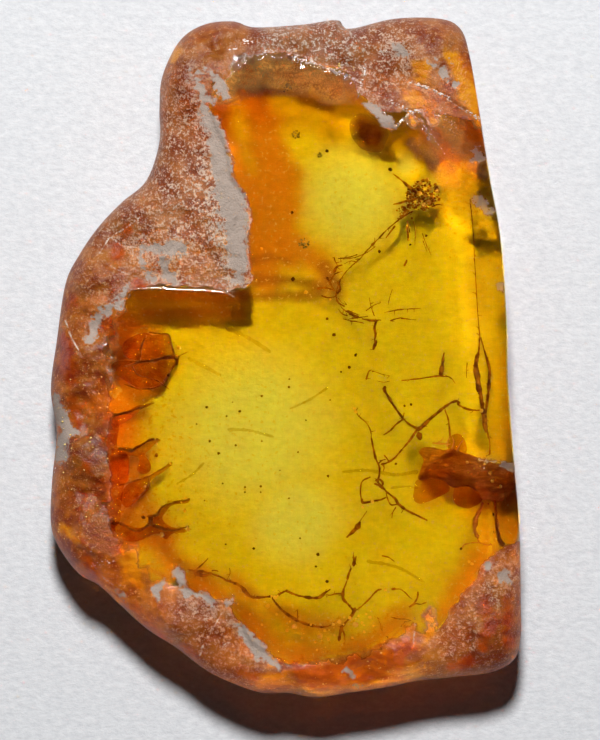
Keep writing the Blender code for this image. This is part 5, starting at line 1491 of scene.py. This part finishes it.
def bark():
    """The bark flake with its loose strands, and three thinner pieces, two of which paint its shadow."""
    body = Heap("bark_plume")
    add_plate(body, PLUME, PLUME_LEVEL, PLUME_THICKNESS, 0.7)
    add_strands(body, BARK_STRANDS)
    lobes_and_shadow = Heap("bark_lobes_and_shadow")
    for outline in LOBES_AND_SHADOW:
        add_plate(lobes_and_shadow, outline, LOBE_LEVEL, LOBE_THICKNESS, 0.5)
    # The two lower lobes are painted shadow of the flake.
    return (body.made(bark_look()),
            lobes_and_shadow.made(veil_look("lobe_and_shadow", (0.90, 0.60, 0.18), (0.90, 0.57, 0.15), (0.96, 0.67, 0.19),
                                 0.95, 0.3)))


def debris(dice):
    """The clump of debris: grains, with a smaller clump, spikes and whiskers."""
    heap = Heap("debris_cluster")
    loop = closed_curve(DEBRIS, 0.2)
    low, high = loop.min(axis=0), loop.max(axis=0)
    found = 0
    while found < DEBRIS_GRAINS:
        place = numpy.array([dice.uniform(low[0], high[0]), dice.uniform(low[1], high[1])])
        if not inside(place[None, :], loop)[0]:
            continue
        found += 1
        size = dice.uniform(*DEBRIS_SIZES)
        sizes = (size, size * dice.uniform(0.6, 1.0), size * 0.8)
        add_grain(heap, (*place, DEBRIS_LEVEL + dice.uniform(-0.3, 0.3)), sizes, dice)
    for _ in range(SIDE_GRAINS):
        share = dice.uniform(0.0, 1.0)
        place = [start + run * share + dice.gauss(0.0, SIDE_SPREAD)
                 for start, run in zip(SIDE_START, SIDE_RUN)]
        size = dice.uniform(*SIDE_SIZES)
        add_grain(heap, (*place, SIDE_LEVEL), (size, size, size), dice)
    add_strands(heap, DEBRIS_SPIKES)
    return heap.made(speck_look("debris", (0.22, 0.055, 0.006), (0.62, 0.27, 0.03)))


def pellets(dice):
    """The pale round pellets that lie in the clump of debris."""
    heap = Heap("pellets")
    for x, y, radius in PELLETS:
        add_grain(heap, (x, y, PELLET_LEVEL), (radius, radius, radius * 0.7), dice, 2)
    return heap.made(speck_look("pellet", (0.72, 0.38, 0.07), (0.95, 0.66, 0.25)))


def veils():
    """Brown veils and claws under the left edge with their ribs, and a dark flake painting a shadow."""
    veils_heap, claws, veins, shadow_blot = Heap("veils"), Heap("claws"), Heap("veins"), Heap("shadow_blot")
    for heap, rows in ((veils_heap, VEILS), (claws, CLAWS)):
        for level, outline in rows:
            add_plate(heap, outline, level, VEIL_THICKNESS, 0.4, VEIL_STEP)
    add_strands(veins, VEINS)
    add_plate(shadow_blot, SHADOW_BLOT, SHADOW_BLOT_LEVEL, SHADOW_BLOT_THICKNESS, 0.8)
    veil = veil_look("veil", (0.64, 0.36, 0.04), (0.62, 0.34, 0.04), (0.86, 0.62, 0.14), 0.93)
    claw = veil_look("claw", (0.90, 0.55, 0.12), (0.72, 0.36, 0.06), (0.94, 0.66, 0.20), 0.94, 0.25)
    # Painted shadow: the dark flake under the crust patch at the top.
    dark = veil_look("shadow_blot", (0.97, 0.92, 0.86), (0.58, 0.28, 0.28), (0.78, 0.46, 0.42), 0.88, 0.6)
    return veils_heap.made(veil), claws.made(claw), veins.made(vein_look()), shadow_blot.made(dark)


def streaks():
    """Faint soft streaks that lie deep in the amber."""
    heap = Heap("streaks")
    add_strands(heap, STREAKS)
    return heap.made(veil_look("streak", (0.95, 0.88, 0.70), (0.93, 0.84, 0.60), (0.96, 0.9, 0.7), 0.96))


def smudges(dice):
    """Grey fuzzy spots just under the polished face."""
    heap = Heap("smudges")
    for x, y, radius in SMUDGES:
        for _ in range(SMUDGE_GRAINS):
            away, angle = radius * dice.random()**0.5, dice.uniform(0.0, 2.0 * math.pi)
            place = (x + away * math.cos(angle), y + away * math.sin(angle), SMUDGE_LEVEL)
            size = dice.uniform(0.03, 0.08)
            add_grain(heap, place, (size, size, size * 0.6), dice)
    return heap.made(speck_look("smudge", (0.10, 0.085, 0.05), (0.42, 0.38, 0.27)))


def crust_tops(places):
    """Height of the stone's upper face at each place."""
    return upper_height(places, distance(places, STONE), numpy.maximum(signed(places, CLEAR), 0.0))


def highest(size):
    """Highest level at which a grain still lies below the top of the stone."""
    return THICKNESS - 1.2 * size


def glints(dice):
    """Golden glints scattered just under the crust: grains coloured as painted highlights."""
    heap = Heap("glints")
    for outline, number in GLINT_AREAS:
        loop = numpy.array(outline)
        low, high = loop.min(axis=0), loop.max(axis=0)
        places = numpy.array([(dice.uniform(low[0], high[0]), dice.uniform(low[1], high[1]))
                              for _ in range(number * 3)])
        places = places[inside(places, loop)][:number]
        for (x, y), top in zip(places, crust_tops(places)):
            size = GLINT_SIZE + GLINT_GROWTH * dice.random()**3
            level = min(top - 0.3 * size, highest(size))
            add_grain(heap, (x, y, level), (size, size * 0.8, size * 0.7), dice)
    return heap.made(painted_glint_look())


def painted_sparkles(dice):
    """Pale grains along the crust's ledges and cracks, painted highlights for facets that catch light."""
    heap = Heap("painted_sparkles")
    for start, end, number, largest, spread in PAINTED_SPARKLES:
        shares = numpy.array([dice.random() for _ in range(number)])[:, None]
        drift = numpy.array([(dice.gauss(0.0, spread), dice.gauss(0.0, spread)) for _ in range(number)])
        places = numpy.array(start) * (1.0 - shares) + numpy.array(end) * shares + drift
        for (x, y), top in zip(places, crust_tops(places)):
            size = PAINTED_SPARKLE_SIZE + (largest - PAINTED_SPARKLE_SIZE) * dice.random()**1.5
            level = min(top - 0.4 * size, highest(size))
            add_grain(heap, (x, y, level), (size, size * 0.6, size * 0.6), dice)
    return heap.made(speck_look("painted_sparkle", (0.86, 0.66, 0.54), (1.0, 0.95, 0.90)))


def dust(name, rows, levels, material, dice, rounds):
    """Small grains or bubbles scattered through the amber."""
    heap = Heap(name)
    level, depth = levels
    for x, y, radius in rows:
        height = level + dice.uniform(-depth, depth)
        add_grain(heap, (x, y, height), (radius, radius, radius), dice, rounds)
    return heap.made(material)


def paper():
    """The pale paper under the stone."""
    mesh = bpy.data.meshes.new("paper")
    half = PAPER_WIDTH / 2.0
    corners = [(-half, -half), (half, -half), (half, half), (-half, half)]
    mesh.from_pydata([(x, y, PAPER_LEVEL) for x, y in corners], [], [(0, 1, 2, 3)])
    mesh.materials.append(paper_look())
    return placed("paper", mesh)


def lamp():
    """One round soft lamp above and behind the stone."""
    data = bpy.data.lights.new("key", "AREA")
    data.shape = "DISK"
    data.size = KEY_SIZE
    data.energy = KEY_WATTS
    thing = bpy.data.objects.new("key", data)
    place = Vector((KEY_SIDE, KEY_FAR * math.sin(KEY_TILT), KEY_FAR * math.cos(KEY_TILT)))
    thing.location = place
    thing.rotation_euler = (place - Vector(KEY_AIM)).to_track_quat("Z", "Y").to_euler()
    bpy.context.scene.collection.objects.link(thing)


def room():
    """A dim room with a pale band at its horizon."""
    world = bpy.data.worlds.new("room")
    bpy.context.scene.world = world
    world.use_nodes = True
    nodes, links = world.node_tree.nodes, world.node_tree.links
    across = nodes.new("ShaderNodeSeparateXYZ")
    links.new(nodes.new("ShaderNodeTexCoord").outputs["Generated"], across.inputs["Vector"])
    height = nodes.new("ShaderNodeMath")
    height.operation = "ABSOLUTE"
    links.new(across.outputs["Z"], height.inputs[0])
    band = nodes.new("ShaderNodeMapRange")
    for name, value in zip(("From Min", "From Max", "To Min", "To Max"), ROOM_BAND + ROOM_LIGHT):
        band.inputs[name].default_value = value
    links.new(height.outputs["Value"], band.inputs["Value"])
    links.new(band.outputs["Result"], nodes["Background"].inputs["Strength"])
    nodes["Background"].inputs["Color"].default_value = ROOM_COLOUR


def path_rules():
    """Let light reach the paper through the stone without being blurred or clipped."""
    rules = bpy.context.scene.cycles
    rules.blur_glossy = 0.0
    rules.sample_clamp_indirect = 0.0
    rules.max_bounces = CLEAR_BOUNCES
    rules.transmission_bounces = CLEAR_BOUNCES
    rules.diffuse_bounces = 3


def camera():
    """The camera straight above the stone."""
    data = bpy.data.cameras.new("camera")
    data.lens = CAMERA_LENS
    data.sensor_width = 36.0
    thing = bpy.data.objects.new("camera", data)
    thing.location = CAMERA_PLACE
    bpy.context.scene.collection.objects.link(thing)
    bpy.context.scene.camera = thing
    bpy.context.scene.view_settings.view_transform = "Standard"


def carried(thing, slot, *nodes):
    """Let a piece ride on the stone in place of the named solids, which are hidden; the slot is not used.
    """
    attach(thing, "root")
    if nodes:
        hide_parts(*nodes)


def main():
    """Make every visible piece, the paper, the light and the camera."""
    dice = random.Random(GRAIN_SEED)
    stone = amber()
    stone.data.materials.append(amber_look())
    carried(stone, "amber", "amber_front", "amber_back")
    thread = thread_look()
    carried(web("web_right_threads", RIGHT_STRANDS, thread, dice), "web", "web_right")
    carried(web("web_lower_threads", LOWER_STRANDS, thread, dice), "web", "web_lower")
    carried(web("web_upper_threads", UPPER_STRANDS, thread, dice), "web", "web_upper")
    carried(web("side_thread_detail", SIDE_STRANDS, thread, dice), "web", "side_thread")
    body, lobes_and_shadow = bark()
    carried(body, "bark", "bark_flake")
    carried(lobes_and_shadow, "bark")
    carried(debris(dice), "debris", "debris_clump")
    for piece in veils():
        carried(piece, "debris")
    dark = speck_look("speck", (0.05, 0.02, 0.006), (0.22, 0.08, 0.01))
    carried(dust("specks", SPECKS, SPECK_LEVELS, dark, dice, 1), "debris")
    carried(dust("bubbles", BUBBLE_GLINTS, BUBBLE_LEVELS, painted_glint_look(), dice, 2), "debris")
    carried(glints(dice), "debris")
    carried(painted_sparkles(random.Random(PAINTED_SPARKLE_SEED)), "debris")
    carried(pellets(dice), "debris")
    carried(smudges(dice), "debris")
    carried(streaks(), "debris")
    paper()
    lamp()
    room()
    path_rules()
    camera()


main()
